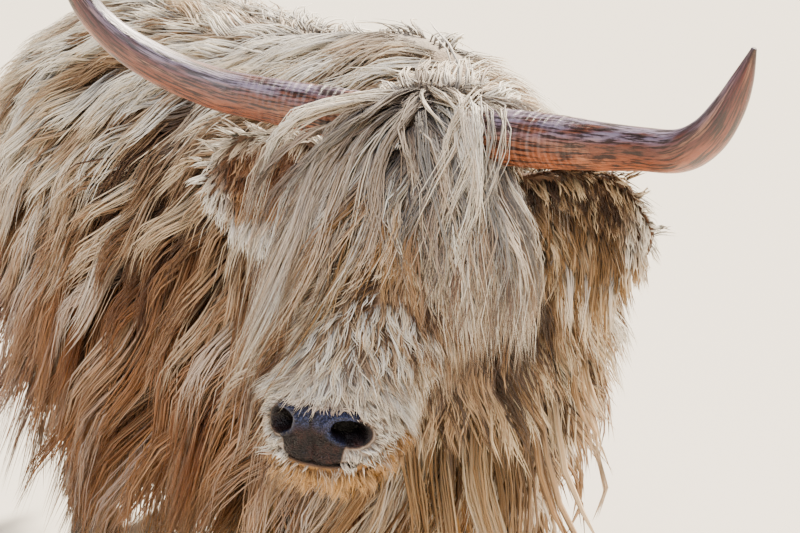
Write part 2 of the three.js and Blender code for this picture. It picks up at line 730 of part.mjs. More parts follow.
// ---------------------------------------------------------------- where the locks grow
// Each list holds a node's locks. Angles go round the body from its left side (0) over the top (90).
const range = (from, to, count) =>
  Array.from({ length: count }, (_, i) => from + ((to - from) * i) / Math.max(count - 1, 1));

// Down the flanks in tiers from the parting along the spine, lowest first, to the fringe of the belly.
const FLANK = [
  { angle: -60, from: 0.2, to: 0.7, count: 5, length: 235, width: 160, back: 0.1, lift: 1 },
  { angle: -32, from: 0.15, to: 0.78, count: 6, length: 300, width: 162, back: 0.28, lift: 1 },
  { angle: 0, from: 0.21, to: 0.86, count: 6, length: 300, width: 162, back: 0.45, lift: 0.9 },
  { angle: 32, from: 0.15, to: 0.82, count: 6, length: 280, width: 162, back: 0.65, lift: 0.8 },
  { angle: 64, from: 0.26, to: 0.86, count: 5, length: 270, width: 165, back: 0.9, lift: 0.2 },
];
function torsoLocks(surface) {
  const locks = [];
  for (const { angle, from, to, count, length, width, back, lift } of FLANK)
    for (const side of [1, -1])
      for (const t of range(from, to, count)) {
        const turned = angle + 5 * vary();
        locks.push(
          lock(surface, {
            root: pointOn(TRUNK, t + 0.016 * vary(), side > 0 ? turned : 180 - turned),
            flow: vec(-side * 0.25, back + 0.15 * vary(), -1),
            length: length * (1 + 0.16 * vary()),
            width: width * (1 + 0.12 * vary()),
            thick: 28,
            sway: 0.22 * vary(),
            droop: 0.3,
            lift: lift + 0.1 * vary(),
          }),
        );
      }
  // The breast and the brisket hang forward between the forelegs.
  for (const [t, angle, length] of [
    [0.1, 12, 190],
    [0.1, 168, 190],
    [0.11, -50, 220],
    [0.11, 230, 220],
    [0.17, -88, 220],
    [0.28, -90, 165],
    [0.43, -90, 150],
  ])
    locks.push(
      lock(surface, {
        root: pointOn(TRUNK, t, angle),
        flow: vec(0, 0.1 * vary(), -1),
        length,
        width: 100,
        thick: 26,
        sway: 0.2 * vary(),
      }),
    );
  // Over the rump, round the root of the tail.
  for (const angle of [15, 165])
    locks.push(
      lock(surface, {
        root: pointOn(TRUNK, 0.9, angle),
        flow: vec(-0.3 * Math.sign(90 - angle), 0.4, -1),
        length: 180,
        width: 84,
        thick: 20,
        sway: 0.2 * vary(),
      }),
    );
  return locks;
}

// Down the neck from its crest, and the dewlap under it.
const NAPE = [
  { angle: -38, count: 3, length: 240, width: 120 },
  { angle: 2, count: 3, length: 240, width: 120 },
  { angle: 40, count: 3, length: 220, width: 115 },
  { angle: 76, count: 2, length: 190, width: 110 },
];
function neckLocks(surface) {
  const locks = [];
  for (const { angle, count, length, width } of NAPE)
    for (const side of [1, -1])
      for (const t of range(0.34, 0.84, count)) {
        const turned = angle + 6 * vary();
        const { ahead, right } = station(NECK, t);
        locks.push(
          lock(surface, {
            root: pointOn(NECK, t, side > 0 ? turned : 180 - turned),
            flow: right
              .multiplyScalar(side * (0.3 + Math.max(angle, 0) / 90))
              .addScaledVector(ahead, -0.35)
              .add(DOWN),
            length: length * (1 + 0.15 * vary()),
            width: width * (1 + 0.12 * vary()),
            thick: 20,
            sway: 0.22 * vary(),
            lift: 0.8,
          }),
        );
      }
  for (const t of range(0.35, 0.7, 2))
    locks.push(
      lock(surface, {
        root: pointOn(NECK, t, -88),
        flow: DOWN.clone().add(vec(0.1 * vary(), 0.1, 0)),
        length: 150,
        width: 84,
        thick: 22,
      }),
    );
  return locks;
}

// The forelock parts over the crown and hangs over the face to the muzzle; x and s are on the face.
const FORELOCK = [
  { s: 200, reach: 50, count: 3, length: 150, width: 32, lift: 1 },
  { s: 125, reach: 84, count: 4, length: 195, width: 38, lift: 1.6 },
  { s: 55, reach: 92, count: 4, length: 255, width: 40, lift: 2.2 },
  { s: 0, reach: 82, count: 5, length: 320, width: 40, lift: 2.9 },
  { s: -32, reach: 30, count: 2, length: 340, width: 40, lift: 3.6 },
];
// Over each temple it falls straight, across the eye and the cheek.
const TEMPLE = [
  { s: 30, x: 100, length: 290 },
  { s: 66, x: 104, length: 250 },
  { s: 102, x: 102, length: 190 },
];
// Shorter hair of the cheeks and jaw.
const CHEEK = [
  { s: 235, x: 72, z: -100, length: 90, width: 34 },
  { s: 165, x: 96, z: -116, length: 105, width: 38 },
  { s: 95, x: 106, z: -130, length: 120, width: 40 },
  { s: 115, x: 58, z: -190, length: 105, width: 42 },
];
function headLocks(surface) {
  const locks = [];
  for (const { s, reach, count, length, width, lift } of FORELOCK)
    for (const x of range(-reach, reach, count)) {
      const fan = (x / 100) * 0.42 + 0.06 * vary();
      locks.push(
        lock(surface, {
          root: facePoint(x + 5 * vary(), -s, 0),
          flow: faceWay(fan, -1, 0).addScaledVector(DOWN, 0.35),
          length: length * (1 - (0.2 * Math.abs(x)) / reach + 0.1 * vary()),
          width,
          thick: 10,
          sway: 0.16 * vary(),
          droop: 0.12,
          lift,
        }),
      );
    }
  for (const { s, x, length } of TEMPLE)
    for (const side of [1, -1])
      locks.push(
        lock(surface, {
          root: facePoint(side * x, -s, -24),
          flow: DOWN.clone().addScaledVector(faceWay(side * 0.12, -0.1, 0), 1),
          length: length * (1 + 0.06 * vary()),
          width: 42,
          thick: 10,
          sway: 0.12 * vary(),
          lift: 2.2,
        }),
      );
  for (const { s, x, z, length, width } of CHEEK)
    for (const side of [1, -1])
      locks.push(
        lock(surface, {
          root: facePoint(side * x, -s, z),
          flow: faceWay(side * 0.1, -0.15, -0.5).add(DOWN),
          length: length * (1 + 0.1 * vary()),
          width,
          thick: 11,
          sway: 0.15 * vary(),
          droop: 0.2,
        }),
      );
  return locks;
}

// Long hair round the rim of an ear, hanging from its lower edge and tip.
const EAR_FRINGE = [
  { t: 0.36, edge: -1, length: 95 },
  { t: 0.56, edge: -1, length: 100 },
  { t: 0.76, edge: -1, length: 95 },
  { t: 0.92, edge: -0.3, length: 75 },
  { t: 0.5, edge: 1, length: 75 },
];
function earLocks(side, surface) {
  const { root, tip } = EAR[side];
  const sign = SIDES[side];
  return EAR_FRINGE.map(({ t, edge, length }) => {
    const { high, deep } = along(EAR_ROWS, t);
    const at = headPoint(...root.clone().lerp(tip, t)).addScaledVector(UP, (edge * high) / 2.1);
    return lock(surface, {
      root: at.add(headWay(0, 1, 0).multiplyScalar(0.9 * deep)),
      flow: headWay(sign * (edge > 0 ? 0.8 : 0.2), edge > 0 ? 0.2 : 0, 0).addScaledVector(DOWN, 0.9),
      length: length * (1 + 0.12 * vary()),
      width: 34,
      thick: 6.5,
      sway: 0.15 * vary(),
      droop: 0.3,
    });
  });
}

// The legs are feathered, longest behind the forearm and down the thigh.
const FEATHER = {
  upper: [
    { t: 0.34, angles: [-10, 190, 270], length: 180, width: 100 },
    { t: 0.64, angles: [50, 160, 270], length: 140, width: 66 },
  ],
  lower: [{ t: 0.12, angles: [150, 300], length: 110, width: 46 }],
};
function legLocks(leg, part, side, surface) {
  const rows = padded(legRows(leg, part, side), UNDERCOAT[part]);
  return FEATHER[part].flatMap(({ t, angles, length, width }) =>
    angles.map((angle) =>
      lock(surface, {
        root: pointOn(rows, t + 0.03 * vary(), angle, vec(0, -1, 0)),
        flow: vec(0.08 * vary(), 0.16 + 0.08 * vary(), -1),
        length: length * (1 + 0.12 * vary()),
        width,
        thick: part === "upper" ? 15 : 9,
        sway: 0.15 * vary(),
        droop: 0.3,
      }),
    ),
  );
}

const switchLocks = (surface) =>
  range(0, 300, 6).map((angle, i) =>
    lock(surface, {
      root: pointOn(SWITCH, i % 2 ? 0.12 : 0.42, angle, vec(0, 1, 0)),
      flow: vec(0.1 * vary(), 0.1 * vary(), -1),
      length: (i % 2 ? 210 : 180) * (1 + 0.1 * vary()),
      width: 34,
      thick: 12,
      sway: 0.2 * vary(),
      droop: 0.5,
    }),
  );

// ---------------------------------------------------------------- nodes
// Each node has a core, cut by the cores listed before it, and perhaps locks with what they lie on.
const sidesOf = (make) => Object.keys(SIDES).flatMap(make);
const nodes = [
  ...sidesOf((side) => [
    { name: `eye_${side}`, material: "eye", core: (grow) => eyeball(SIDES[side], grow) },
  ]),
  {
    name: "nose_pad",
    material: "nose",
    core: (grow) => (grow ? padBlock(grow) : face(1).intersect(padBlock(0))),
  },
  {
    name: "muzzle",
    material: "face",
    core: (grow) => face(grow).intersect(beyond(MUZZLE_FROM + GAP / 2 - grow, true)),
  },
  {
    name: "head",
    material: "face",
    core: (grow) => face(grow).intersect(beyond(MUZZLE_FROM - GAP / 2 + grow, false)),
    over: ["head", "muzzle", "horn_left", "horn_right"],
    locks: headLocks,
  },
  {
    name: "torso",
    material: "coat",
    core: trunk,
    over: ["torso", "leg_hind_left_upper", "leg_hind_right_upper"],
    locks: torsoLocks,
  },
  { name: "neck", material: "coat", core: neck, over: ["neck", "torso"], locks: neckLocks },
  ...sidesOf((side) => [
    { name: `horn_${side}`, material: "horn", core: (grow) => horn(side, grow) },
    {
      name: `ear_${side}`,
      material: "face",
      core: (grow) => ear(side, grow),
      over: [`ear_${side}`],
      locks: (surface) => earLocks(side, surface),
    },
  ]),
  ...Object.keys(LEGS).flatMap((leg) =>
    sidesOf((side) => [
      ...["inner", "outer"].map((which) => ({
        name: `hoof_${leg}_${side}_${which}`,
        material: "hoof",
        core: (grow) => claw(leg, side, which === "inner", grow),
      })),
      ...["inner", "outer"].map((which) => ({
        name: `dewclaw_${leg}_${side}_${which}`,
        material: "hoof",
        core: (grow) => dewclaw(leg, side, which === "inner", grow),
      })),
      ...["lower", "upper"].map((part) => ({
        name: `leg_${leg}_${side}_${part}`,
        material: "coat",
        core: (grow) => limb(leg, part, side, grow),
        over: [`leg_${leg}_${side}_lower`, `leg_${leg}_${side}_upper`],
        locks: (surface) => legLocks(leg, part, side, surface),
      })),
    ]),
  ),
  { name: "tail", material: "coat", core: tail },
  {
    name: "tail_switch",
    material: "coat",
    core: tailSwitch,
    over: ["tail_switch"],
    locks: switchLocks,
  },
  { name: "udder", material: "udder", core: udder },
];

const apart = (a, b) => {
  const [p, q] = [a.boundingBox(), b.boundingBox()];
  return [0, 1, 2].some((i) => p.min[i] > q.max[i] || q.min[i] > p.max[i]);
};
const without = (made, cutters) =>
  cutters.reduce((left, cutter) => (apart(left, cutter) ? left : left.subtract(cutter)), made);
const largest = (whole) =>
  whole.decompose().reduce((best, piece) => (piece.volume() > best.volume() ? piece : best));

// Cores first: each is cut clear of those before it.
const cores = {};
const around = {};
for (const { name, core } of nodes) {
  const made = without(core(0), Object.values(around));
  if (made.isEmpty()) throw new Error(`${name} is buried`);
  cores[name] = largest(made);
  around[name] = core(GAP);
}

// Then the locks, cut clear of the other nodes' cores and of the locks grown before them.
const finished = [];
const grownLocks = [];
for (const { name, material, over, locks } of nodes) {
  let made = cores[name];
  if (locks) {
    const grown = locks(new Surface(over.map((other) => cores[other])));
    const others = Object.keys(around).filter((other) => other !== name);
    const near = others.flatMap((other) => [around[other], cores[other]]);
    const kept = joined(grown.map(({ plain }) => plain));
    made = made.add(without(kept, [...near, ...grownLocks]));
    grownLocks.push(joined(grown.map(({ grown: outer }) => outer)));
  }
  finished.push({ name, material, made: largest(made) });
}

// The origin is on the floor under the middle of the animal.
const boxes = finished.map(({ made }) => made.boundingBox());
const low = [0, 1].map((i) => Math.min(...boxes.map(({ min }) => min[i])));
const high = [0, 1].map((i) => Math.max(...boxes.map(({ max }) => max[i])));
const middle = [0, 1].map((i) => Math.round((low[i] + high[i]) / 2));

// Points that all but touch are joined, and what that parts from a node is dropped.
function settled(made, shift) {
  const { vertProperties, triVerts } = made.getMesh();
  const geometry = new THREE.BufferGeometry();
  geometry.setAttribute("position", new THREE.BufferAttribute(vertProperties, 3));
  geometry.setIndex(new THREE.BufferAttribute(triVerts, 1));
  return largest(placed(geometry, shift));
}

const group = new THREE.Group();
const centring = new THREE.Matrix4().makeTranslation(-middle[0], -middle[1], 0);
for (const { name, material, made } of finished) {
  const still = new THREE.Matrix4();
  const { vertProperties, triVerts } = settled(settled(made, centring), still).getMesh();
  const geometry = new THREE.BufferGeometry();
  geometry.setAttribute("position", new THREE.BufferAttribute(vertProperties, 3));
  geometry.setIndex(new THREE.BufferAttribute(triVerts, 1));
  geometry.computeVertexNormals();
  const node = new THREE.Mesh(geometry, materials[material]);
  node.name = name;
  group.add(node);
}

export default group;
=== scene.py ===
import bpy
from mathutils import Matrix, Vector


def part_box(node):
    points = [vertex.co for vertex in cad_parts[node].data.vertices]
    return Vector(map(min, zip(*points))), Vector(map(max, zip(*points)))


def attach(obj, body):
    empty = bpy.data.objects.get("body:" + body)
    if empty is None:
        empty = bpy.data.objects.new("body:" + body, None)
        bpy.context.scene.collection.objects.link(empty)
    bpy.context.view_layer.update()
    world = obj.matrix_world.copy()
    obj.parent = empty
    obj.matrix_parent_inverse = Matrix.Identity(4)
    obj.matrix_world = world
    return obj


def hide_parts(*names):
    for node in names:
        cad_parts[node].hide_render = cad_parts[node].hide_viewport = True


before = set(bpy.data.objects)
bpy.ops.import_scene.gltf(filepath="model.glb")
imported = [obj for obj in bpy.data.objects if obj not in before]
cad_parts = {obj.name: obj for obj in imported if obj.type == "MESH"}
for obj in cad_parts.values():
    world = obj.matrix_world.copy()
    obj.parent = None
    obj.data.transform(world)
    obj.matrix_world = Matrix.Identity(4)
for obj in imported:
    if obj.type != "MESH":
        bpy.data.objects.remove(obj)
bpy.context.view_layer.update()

import copy
import math
from functools import partial

import bmesh
import bpy
import numpy as np
from mathutils import Matrix, Vector
from mathutils.bvhtree import BVHTree
from mathutils.kdtree import KDTree

draw = np.random.default_rng(11)
SIDES = {"left": 1, "right": -1}
DOWN = np.array([0.0, 0.0, -1.0])
TAU = 2 * math.pi


# ------------------------------------------------------------------ where the head is
# The tables of sizes are in millimetres, in the axes that the trunk is drawn in.
MM = 0.001
POLL = np.array([-270.0, -785.0, 1030.0])  # the crown, between the horns
HEAD_YAW = -57  # degrees, to her right
HEAD_ROLL = 2.5  # degrees, left side down
FACE_SLOPE = 49  # degrees that the line of the face falls below level
EYE = (97.0, -128.0, -50.0)  # on the face: to her left, back from the nose, off the face
EYE_RADIUS = 19.0
EYE_SUNK = 0.3
EYE_WAY = (-0.38, 0.12)  # which way an eye looks for a step out: up the face, and off it


def turned(axis, degrees):
    return np.array(Matrix.Rotation(math.radians(degrees), 3, axis))


LEVEL = turned("Z", HEAD_YAW) @ turned("Y", HEAD_ROLL)
FACE = LEVEL @ turned("X", FACE_SLOPE)
EYE_BOX = np.array(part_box("eye_left"))
SHIFT = EYE_BOX.mean(0) - (POLL + FACE @ np.array(EYE)) * MM


def placed(points):
    """Millimetres in the drawing's axes to metres in the frame."""
    return np.asarray(points, float) * MM + SHIFT


def on_face(points):
    return placed(POLL + np.asarray(points, float) @ FACE.T)


def on_head(points):
    return placed(POLL + np.asarray(points, float) @ LEVEL.T)


def drawn(points):
    """Metres in the frame back to millimetres in the drawing's axes."""
    return (np.asarray(points) - SHIFT) / MM


def face_place(points):
    """Metres in the frame back to millimetres on the face."""
    return (drawn(points) - POLL) @ FACE


def face_of(roots):
    """Places of roots on the face: across it, down it from the crown, and off it."""
    x, y, z = face_place(roots.place).T
    return x, -y, z


def unit(v):
    return v / np.maximum(np.linalg.norm(v, axis=-1, keepdims=True), 1e-9)


def smooth(low, high, x):
    t = np.clip((x - low) / (high - low), 0, 1)
    return t * t * (3 - 2 * t)


def bump_at(x, middle, width):
    return np.exp(-(((x - middle) / width) ** 2))


def waves(points, scale, seed=0):
    """A smooth random field from about -1 to 1, with features about scale across."""
    pick = np.random.default_rng(seed)
    ways = unit(pick.normal(size=(7, 3))) * pick.uniform(0.6, 1.5, (7, 1)) * TAU / scale
    return np.sin(points @ ways.T + pick.uniform(0, TAU, 7)).sum(1) / 3.2


# ------------------------------------------------------------------ lofts
def along(rows, t):
    """Sizes of a table of rows at each t from 0 to 1, eased through the rows."""
    place = np.clip(t, 0, 1) * (len(rows) - 1)
    i = np.minimum(place.astype(int), len(rows) - 2)
    f = (place - i)[:, None]
    a, b, c, d = (rows[np.clip(i + k, 0, len(rows) - 1)] for k in (-1, 0, 1, 2))
    return b + 0.5 * f * (c - a + f * (2 * a - 5 * b + 4 * c - d + f * (3 * (b - c) + d - a)))


def grid(count, sides):
    """Every t along and angle round of a tube with count rings."""
    along_it, round_it = np.linspace(0, 1, count), np.arange(sides) / sides * TAU
    return np.repeat(along_it, sides), np.tile(round_it, count)


class Loft:
    """Rings along a line. A row is x, y, z, half, top, bottom and pinch, narrowing it above."""

    def __init__(self, rows, upright=(0, 0, 1), square=2.2, place=placed):
        self.rows = np.array(rows, float)
        self.upright = np.array(upright, float)
        self.square = square
        self.place = place

    def frame(self, t):
        sizes = along(self.rows, t)
        ahead = unit(along(self.rows, t + 1e-3)[:, :3] - along(self.rows, t - 1e-3)[:, :3])
        right = unit(np.cross(self.upright, ahead))
        return sizes[:, :3], right, np.cross(ahead, right), sizes[:, 3:]

    def at(self, t, angle):
        """The surface at t along, at an angle round from the ring's right over its top."""
        centre, right, up, (half, top, bottom, pinch) = self.parts(t)
        c, s = np.cos(angle), np.sin(angle)
        across = np.sign(c) * np.abs(c) ** (2 / self.square) * half
        across *= 1 - pinch * np.maximum(s, 0) ** 2
        high = np.sign(s) * np.abs(s) ** (2 / self.square) * np.where(s > 0, top, bottom)
        return self.place(centre + across[:, None] * right + high[:, None] * up)

    def parts(self, t):
        centre, right, up, sizes = self.frame(t)
        return centre, right, up, sizes.T

    def shape(self, count, sides):
        """A closed mesh of the loft."""
        return closed_tube(self.at(*grid(count, sides)).reshape(count, sides, 3))


class FaceLoft(Loft):
    """The skull. A row is s, z, half, top, bottom and how far the ring leans back."""

    def frame(self, t):
        s, z, half, top, bottom, tilt = along(self.rows, t).T
        none, lean = np.zeros_like(s), np.radians(tilt)
        right = np.tile([1.0, 0.0, 0.0], (len(s), 1))
        up = np.stack([none, np.sin(lean), np.cos(lean)], 1)
        sizes = np.stack([half, top, bottom, none], 1)
        return np.stack([none, -s, z], 1), right, up, sizes


def closed_tube(rings):
    """Vertices and faces of a tube through rings, with a fan at each end."""
    count, sides, _ = rings.shape
    points = np.concatenate([rings.reshape(-1, 3), [rings[0].mean(0), rings[-1].mean(0)]])
    j = np.arange(sides)
    after = (j + 1) % sides
    faces = []
    for i in range(count - 1):
        a, b = i * sides, (i + 1) * sides
        faces += np.stack([a + j, a + after, b + after, b + j], 1).tolist()
    ends = count * sides
    faces += [(ends, q, p) for p, q in zip(j.tolist(), after.tolist())]
    last = ends - sides
    faces += [(ends + 1, last + p, last + q) for p, q in zip(j.tolist(), after.tolist())]
    return points, faces


def ball(matrix, rings=18, sides=28):
    """A unit sphere carried by a 4 by 4 matrix."""
    lat = np.linspace(0, math.pi, rings + 2)[1:-1]
    lon = np.arange(sides) / sides * TAU
    lat, lon = np.meshgrid(lat, lon, indexing="ij")
    shell = np.stack([np.sin(lat) * np.cos(lon), np.sin(lat) * np.sin(lon), np.cos(lat)], -1)
    points, faces = closed_tube(shell)
    points[-2], points[-1] = (0, 0, 1), (0, 0, -1)
    return points @ matrix[:3, :3].T + matrix[:3, 3], faces


def looking(at, way, size):
    """A matrix in face millimetres that points +Z along way, with x across and y up the face."""
    ahead = unit(np.array(way, float))
    across = unit(np.cross([0.0, 0.35, 1.0], ahead))
    up = np.cross(ahead, across)
    matrix = np.eye(4)
    matrix[:3, :3] = np.stack([across, up, ahead], 1) * np.array(size, float)
    matrix[:3, 3] = at
    return matrix


# ------------------------------------------------------------------ Blender meshes
def mesh_object(name, points, faces):
    """A new object in the scene from places in metres and faces."""
    mesh = bpy.data.meshes.new(name)
    mesh.from_pydata(np.asarray(points).tolist(), [], [list(face) for face in faces])
    mesh.update()
    made = bpy.data.objects.new(name, mesh)
    bpy.context.scene.collection.objects.link(made)
    return made


def merged(shapes):
    """Several pairs of points and faces as one pair."""
    points, faces, first = [], [], 0
    for one, its_faces in shapes:
        points.append(one)
        faces += [[first + i for i in face] for face in its_faces]
        first += len(one)
    return np.concatenate(points), faces


def outward(mesh):
    """Turns all faces of a closed mesh the right way round."""
    work = bmesh.new()
    work.from_mesh(mesh)
    bmesh.ops.recalc_face_normals(work, faces=work.faces)
    work.to_mesh(mesh)
    work.free()


def fused(name, shapes, voxel, rounds):
    """One even skin over overlapping closed shapes."""
    rough = mesh_object(name, *merged(shapes))
    outward(rough.data)
    remesh = rough.modifiers.new("even", "REMESH")
    remesh.mode = "VOXEL"
    remesh.voxel_size = voxel
    ease = rough.modifiers.new("ease", "SMOOTH")
    ease.factor = 0.5
    ease.iterations = rounds
    graph = bpy.context.evaluated_depsgraph_get()
    mesh = bpy.data.meshes.new_from_object(rough.evaluated_get(graph))
    mesh.name = name
    rough.modifiers.clear()
    rough.data = mesh
    return rough


def read(items, what, kind=np.int32, width=1):
    """What every item of a mesh holds under one name, width numbers to an item."""
    values = np.empty(len(items) * width, kind)
    items.foreach_get(what, values)
    return values


def corners(mesh):
    return read(mesh.vertices, "co", np.float32, 3).reshape(-1, 3).astype(float)


def normals(mesh):
    return read(mesh.vertices, "normal", np.float32, 3).reshape(-1, 3).astype(float)


def reshape(mesh, points):
    mesh.vertices.foreach_set("co", points.astype(np.float32).ravel())
    mesh.update()


def paint(mesh, name, values):
    """Stores one number, or one colour, for every corner of a mesh."""
    kind = "FLOAT" if values.ndim == 1 else "FLOAT_COLOR"
    layer = mesh.attributes.new(name, kind, "POINT")
    if values.ndim == 1:
        layer.data.foreach_set("value", values.astype(np.float32))
    else:
        full = np.concatenate([values, np.ones((len(values), 4 - values.shape[1]))], 1)
        layer.data.foreach_set("color", full.astype(np.float32).ravel())


# ------------------------------------------------------------------ sizes of the bare animal
TRUNK = [
    (0, -615, 700, 40, 50, 60, 0),
    (0, -560, 700, 150, 180, 175, 0.2),
    (0, -445, 722, 230, 262, 258, 0.5),
    (0, -300, 740, 262, 320, 282, 0.58),
    (0, -100, 735, 278, 303, 288, 0.4),
    (0, 150, 730, 308, 298, 294, 0.16),
    (0, 400, 752, 302, 290, 272, 0.1),
    (0, 625, 790, 274, 266, 242, 0.12),
    (0, 780, 828, 224, 208, 194, 0.15),
    (0, 872, 862, 148, 124, 124, 0.1),
    (0, 908, 875, 58, 50, 50, 0),
]
NECK = [
    (10, -330, 790, 150, 190, 240, 0.45),
    (-20, -470, 830, 158, 178, 250, 0.5),
    (-95, -600, 866, 142, 146, 215, 0.45),
    (-170, -690, 898, 118, 122, 170, 0.35),
    (-225, -740, 922, 98, 98, 120, 0.2),
]
# s from the crown to the nose, z off the line of the face, half, top, bottom, lean
SKULL = [
    (-62, -85, 48, 40, 50, 0),
    (-35, -84, 84, 76, 84, 0),
    (40, -92, 106, 102, 112, 0),
    (115, -96, 114, 106, 114, 0),
    (180, -93, 98, 98, 100, 2),
    (250, -84, 76, 84, 82, 5),
    (312, -77, 68, 74, 69, 8),
    (350, -71, 70, 70, 62, 18),
    (380, -62, 74, 64, 58, 30),
    (402, -54, 70, 58, 52, 39),
    (415, -47, 62, 51, 46, 44),
    (424, -40, 49, 41, 37, 44),
    (431, -34, 28, 26, 22, 44),
]
# x is for the left leg, and top is the reach forward
LEG_TOP = 720
FORE = {
    "upper": [
        (166, -330, 720, 58, 84, 92, 0),
        (172, -326, 620, 64, 80, 92, 0),
        (164, -318, 510, 54, 62, 72, 0),
        (154, -320, 410, 43, 48, 52, 0),
        (149, -328, 325, 45, 50, 48, 0),
        (147, -330, 268, 37, 41, 43, 0),
    ],
    "lower": [
        (147, -330, 275, 37, 41, 43, 0),
        (145, -329, 200, 32, 35, 39, 0),
        (144, -331, 128, 38, 38, 44, 0),
        (144, -346, 90, 34, 32, 38, 0),
        (144, -360, 60, 38, 34, 40, 0),
    ],
    "step": {"left": -45, "right": 30},
    "foot": (144, -362),
}
HIND = {
    "upper": [
        (142, 655, 780, 88, 165, 150, 0),
        (152, 640, 680, 92, 150, 150, 0),
        (160, 645, 580, 76, 108, 120, 0),
        (156, 690, 490, 56, 72, 72, 0),
        (148, 747, 415, 42, 56, 62, 0),
        (143, 757, 350, 38, 45, 48, 0),
    ],
    "lower": [
        (143, 757, 357, 38, 45, 48, 0),
        (141, 751, 240, 32, 37, 40, 0),
        (140, 747, 132, 38, 40, 44, 0),
        (140, 733, 92, 34, 33, 38, 0),
        (140, 719, 60, 38, 34, 40, 0),
    ],
    "step": {"left": 40, "right": -50},
    "foot": (140, 717),
}
LEGS = {"fore": FORE, "hind": HIND}
TAIL = [
    (0, 800, 905, 38, 36, 36, 0),
    (0, 880, 918, 34, 32, 32, 0),
    (3, 940, 880, 28, 25, 25, 0),
    (9, 968, 800, 22, 20, 20, 0),
    (15, 979, 700, 18, 17, 17, 0),
    (20, 980, 600, 16, 15, 15, 0),
    (22, 980, 520, 14, 13, 13, 0),
]
SWITCH = [
    (20, 980, 640, 18, 17, 17, 0),
    (22, 980, 560, 17, 16, 16, 0),
    (24, 980, 470, 13, 12, 12, 0),
]
UDDER = {"at": (0, 480, 440), "size": (94, 121, 74)}
TEAT = {"x": 48, "y": 52, "top": 13, "tip": 8, "long": 42}
CHIN = {"s": 399, "z": -111, "size": (51, 49, 36)}
MOUTH = {"s": 430, "z": -57, "rise": 22, "back": 345}
LID = {"long": 22.0, "high": 14.5}
NOSTRIL = {"at": (38, -406, -32), "wide": 19, "high": 13.5, "deep": 27}
PAD = {"s": 424, "z": -27, "lean": 44, "top": 55, "bottom": 34, "above": 33, "below": 33}
HORN = {
    "left": [
        (60, 12, -22, 33),
        (120, 2, -18, 33),
        (172, -5, -16, 32),
        (235, -22, -11, 28),
        (292, -45, -4, 25),
        (349, -75, 5, 24),
        (385, -93, 28, 22),
        (409, -102, 62, 18),
        (424, -108, 96, 12),
        (435, -112, 130, 3),
    ],
    "right": [
        (-60, 12, -20, 32),
        (-125, 4, -15, 31),
        (-184, -5, -10, 29),
        (-234, -18, -4, 27),
        (-276, -32, 4, 26),
        (-333, -58, 26, 24),
        (-386, -80, 58, 21),
        (-425, -95, 98, 17),
        (-452, -104, 146, 11),
        (-466, -108, 190, 3),
    ],
}
EAR = {
    "left": ((100, 42, -92), (276, 56, -134)),
    "right": ((-118, 42, -88), (-346, 68, -156)),
}
# how high and deep the leaf of an ear is, and how hollow its cup
EAR_ROWS = np.array(
    [
        (48, 28, 0.0),
        (74, 34, 0.25),
        (112, 38, 0.66),
        (136, 36, 0.72),
        (138, 30, 0.7),
        (108, 22, 0.6),
        (36, 9, 0.2),
    ],
    float,
)
CORONET = 62
# height, half width, reach to toe and heel, and place out from the foot's middle
CLAW = [
    (0, 23, 66, 40, 25.5),
    (6, 24, 65, 41, 26),
    (34, 22, 48, 39, 24),
    (CORONET, 19.5, 32, 34, 21),
]
CLAW_MESH = {"rings": 22, "sides": 40, "square": 2.3}
DEWCLAW = {"z": 104, "back": 72, "out": 20, "rows": (6, 13, 14, 6), "drop": 12}
DEWCLAW_MESH = {"rings": 10, "sides": 18}


def leg_rows(leg, part, side):
    """The rows of a leg, with its foot stepped forward or back."""
    rows = np.array(LEGS[leg][part], float)
    rows[:, 0] *= SIDES[side]
    rows[:, 1] += LEGS[leg]["step"][side] * np.clip(1 - rows[:, 2] / LEG_TOP, 0, None)
    return rows


trunk = Loft(TRUNK, square=2.25)
neck = Loft(NECK)
skull = FaceLoft(SKULL, square=2.35, place=on_face)
tail = Loft(TAIL, upright=(0, 1, 0.3))
switch = Loft(SWITCH, upright=(0, 1, 0))
legs = {
    (leg, part, side): Loft(leg_rows(leg, part, side), upright=(0, -1, 0))
    for leg in LEGS
    for part in ("upper", "lower")
    for side in SIDES
}


class EarLeaf:
    """A cupped leaf. t runs from root to tip, and angle round it: the back first, then the cup."""

    def __init__(self, side):
        root, tip = (np.array(p, float) for p in EAR[side])
        self.root, self.tip = root, tip
        self.out = unit(tip - root)
        mouth = np.array([SIDES[side] * 0.25, -0.9, -0.32])
        self.across = unit(np.cross(self.out, mouth))
        self.back = unit(np.cross(self.across, self.out))
        if self.back @ mouth > 0:
            self.back = -self.back
        if self.across[2] < 0:
            self.across = -self.across

    def at(self, t, angle):
        high, deep, hollow = along(EAR_ROWS, t).T
        turn = np.where(angle < math.pi, angle, TAU - angle) - math.pi / 2
        inside = angle >= math.pi
        tall = high / 2 - inside * 2
        depth = np.where(inside, deep * hollow - 3, deep)
        centre = self.root + t[:, None] * (self.tip - self.root)
        crinkle = 1.5 * np.sin(t * 17) * np.sin(turn * 3)
        across = (tall + crinkle) * np.sin(turn)
        return on_head(
            centre + across[:, None] * self.across + (depth * np.cos(turn))[:, None] * self.back
        )

    def shape(self, count, sides):
        return closed_tube(self.at(*grid(count, sides)).reshape(count, sides, 3))


ears = {side: EarLeaf(side) for side in SIDES}


# ------------------------------------------------------------------ markings of skin and coat
def lip_place(points):
    """How far above the line of the mouth a point lies, and how much of the mouth is there."""
    s = -points[:, 1]
    line = MOUTH["z"] - (MOUTH["s"] - s) * math.tan(math.radians(MOUTH["rise"]))
    return points[:, 2] - line, smooth(MOUTH["back"] - 12, MOUTH["back"] + 14, s)


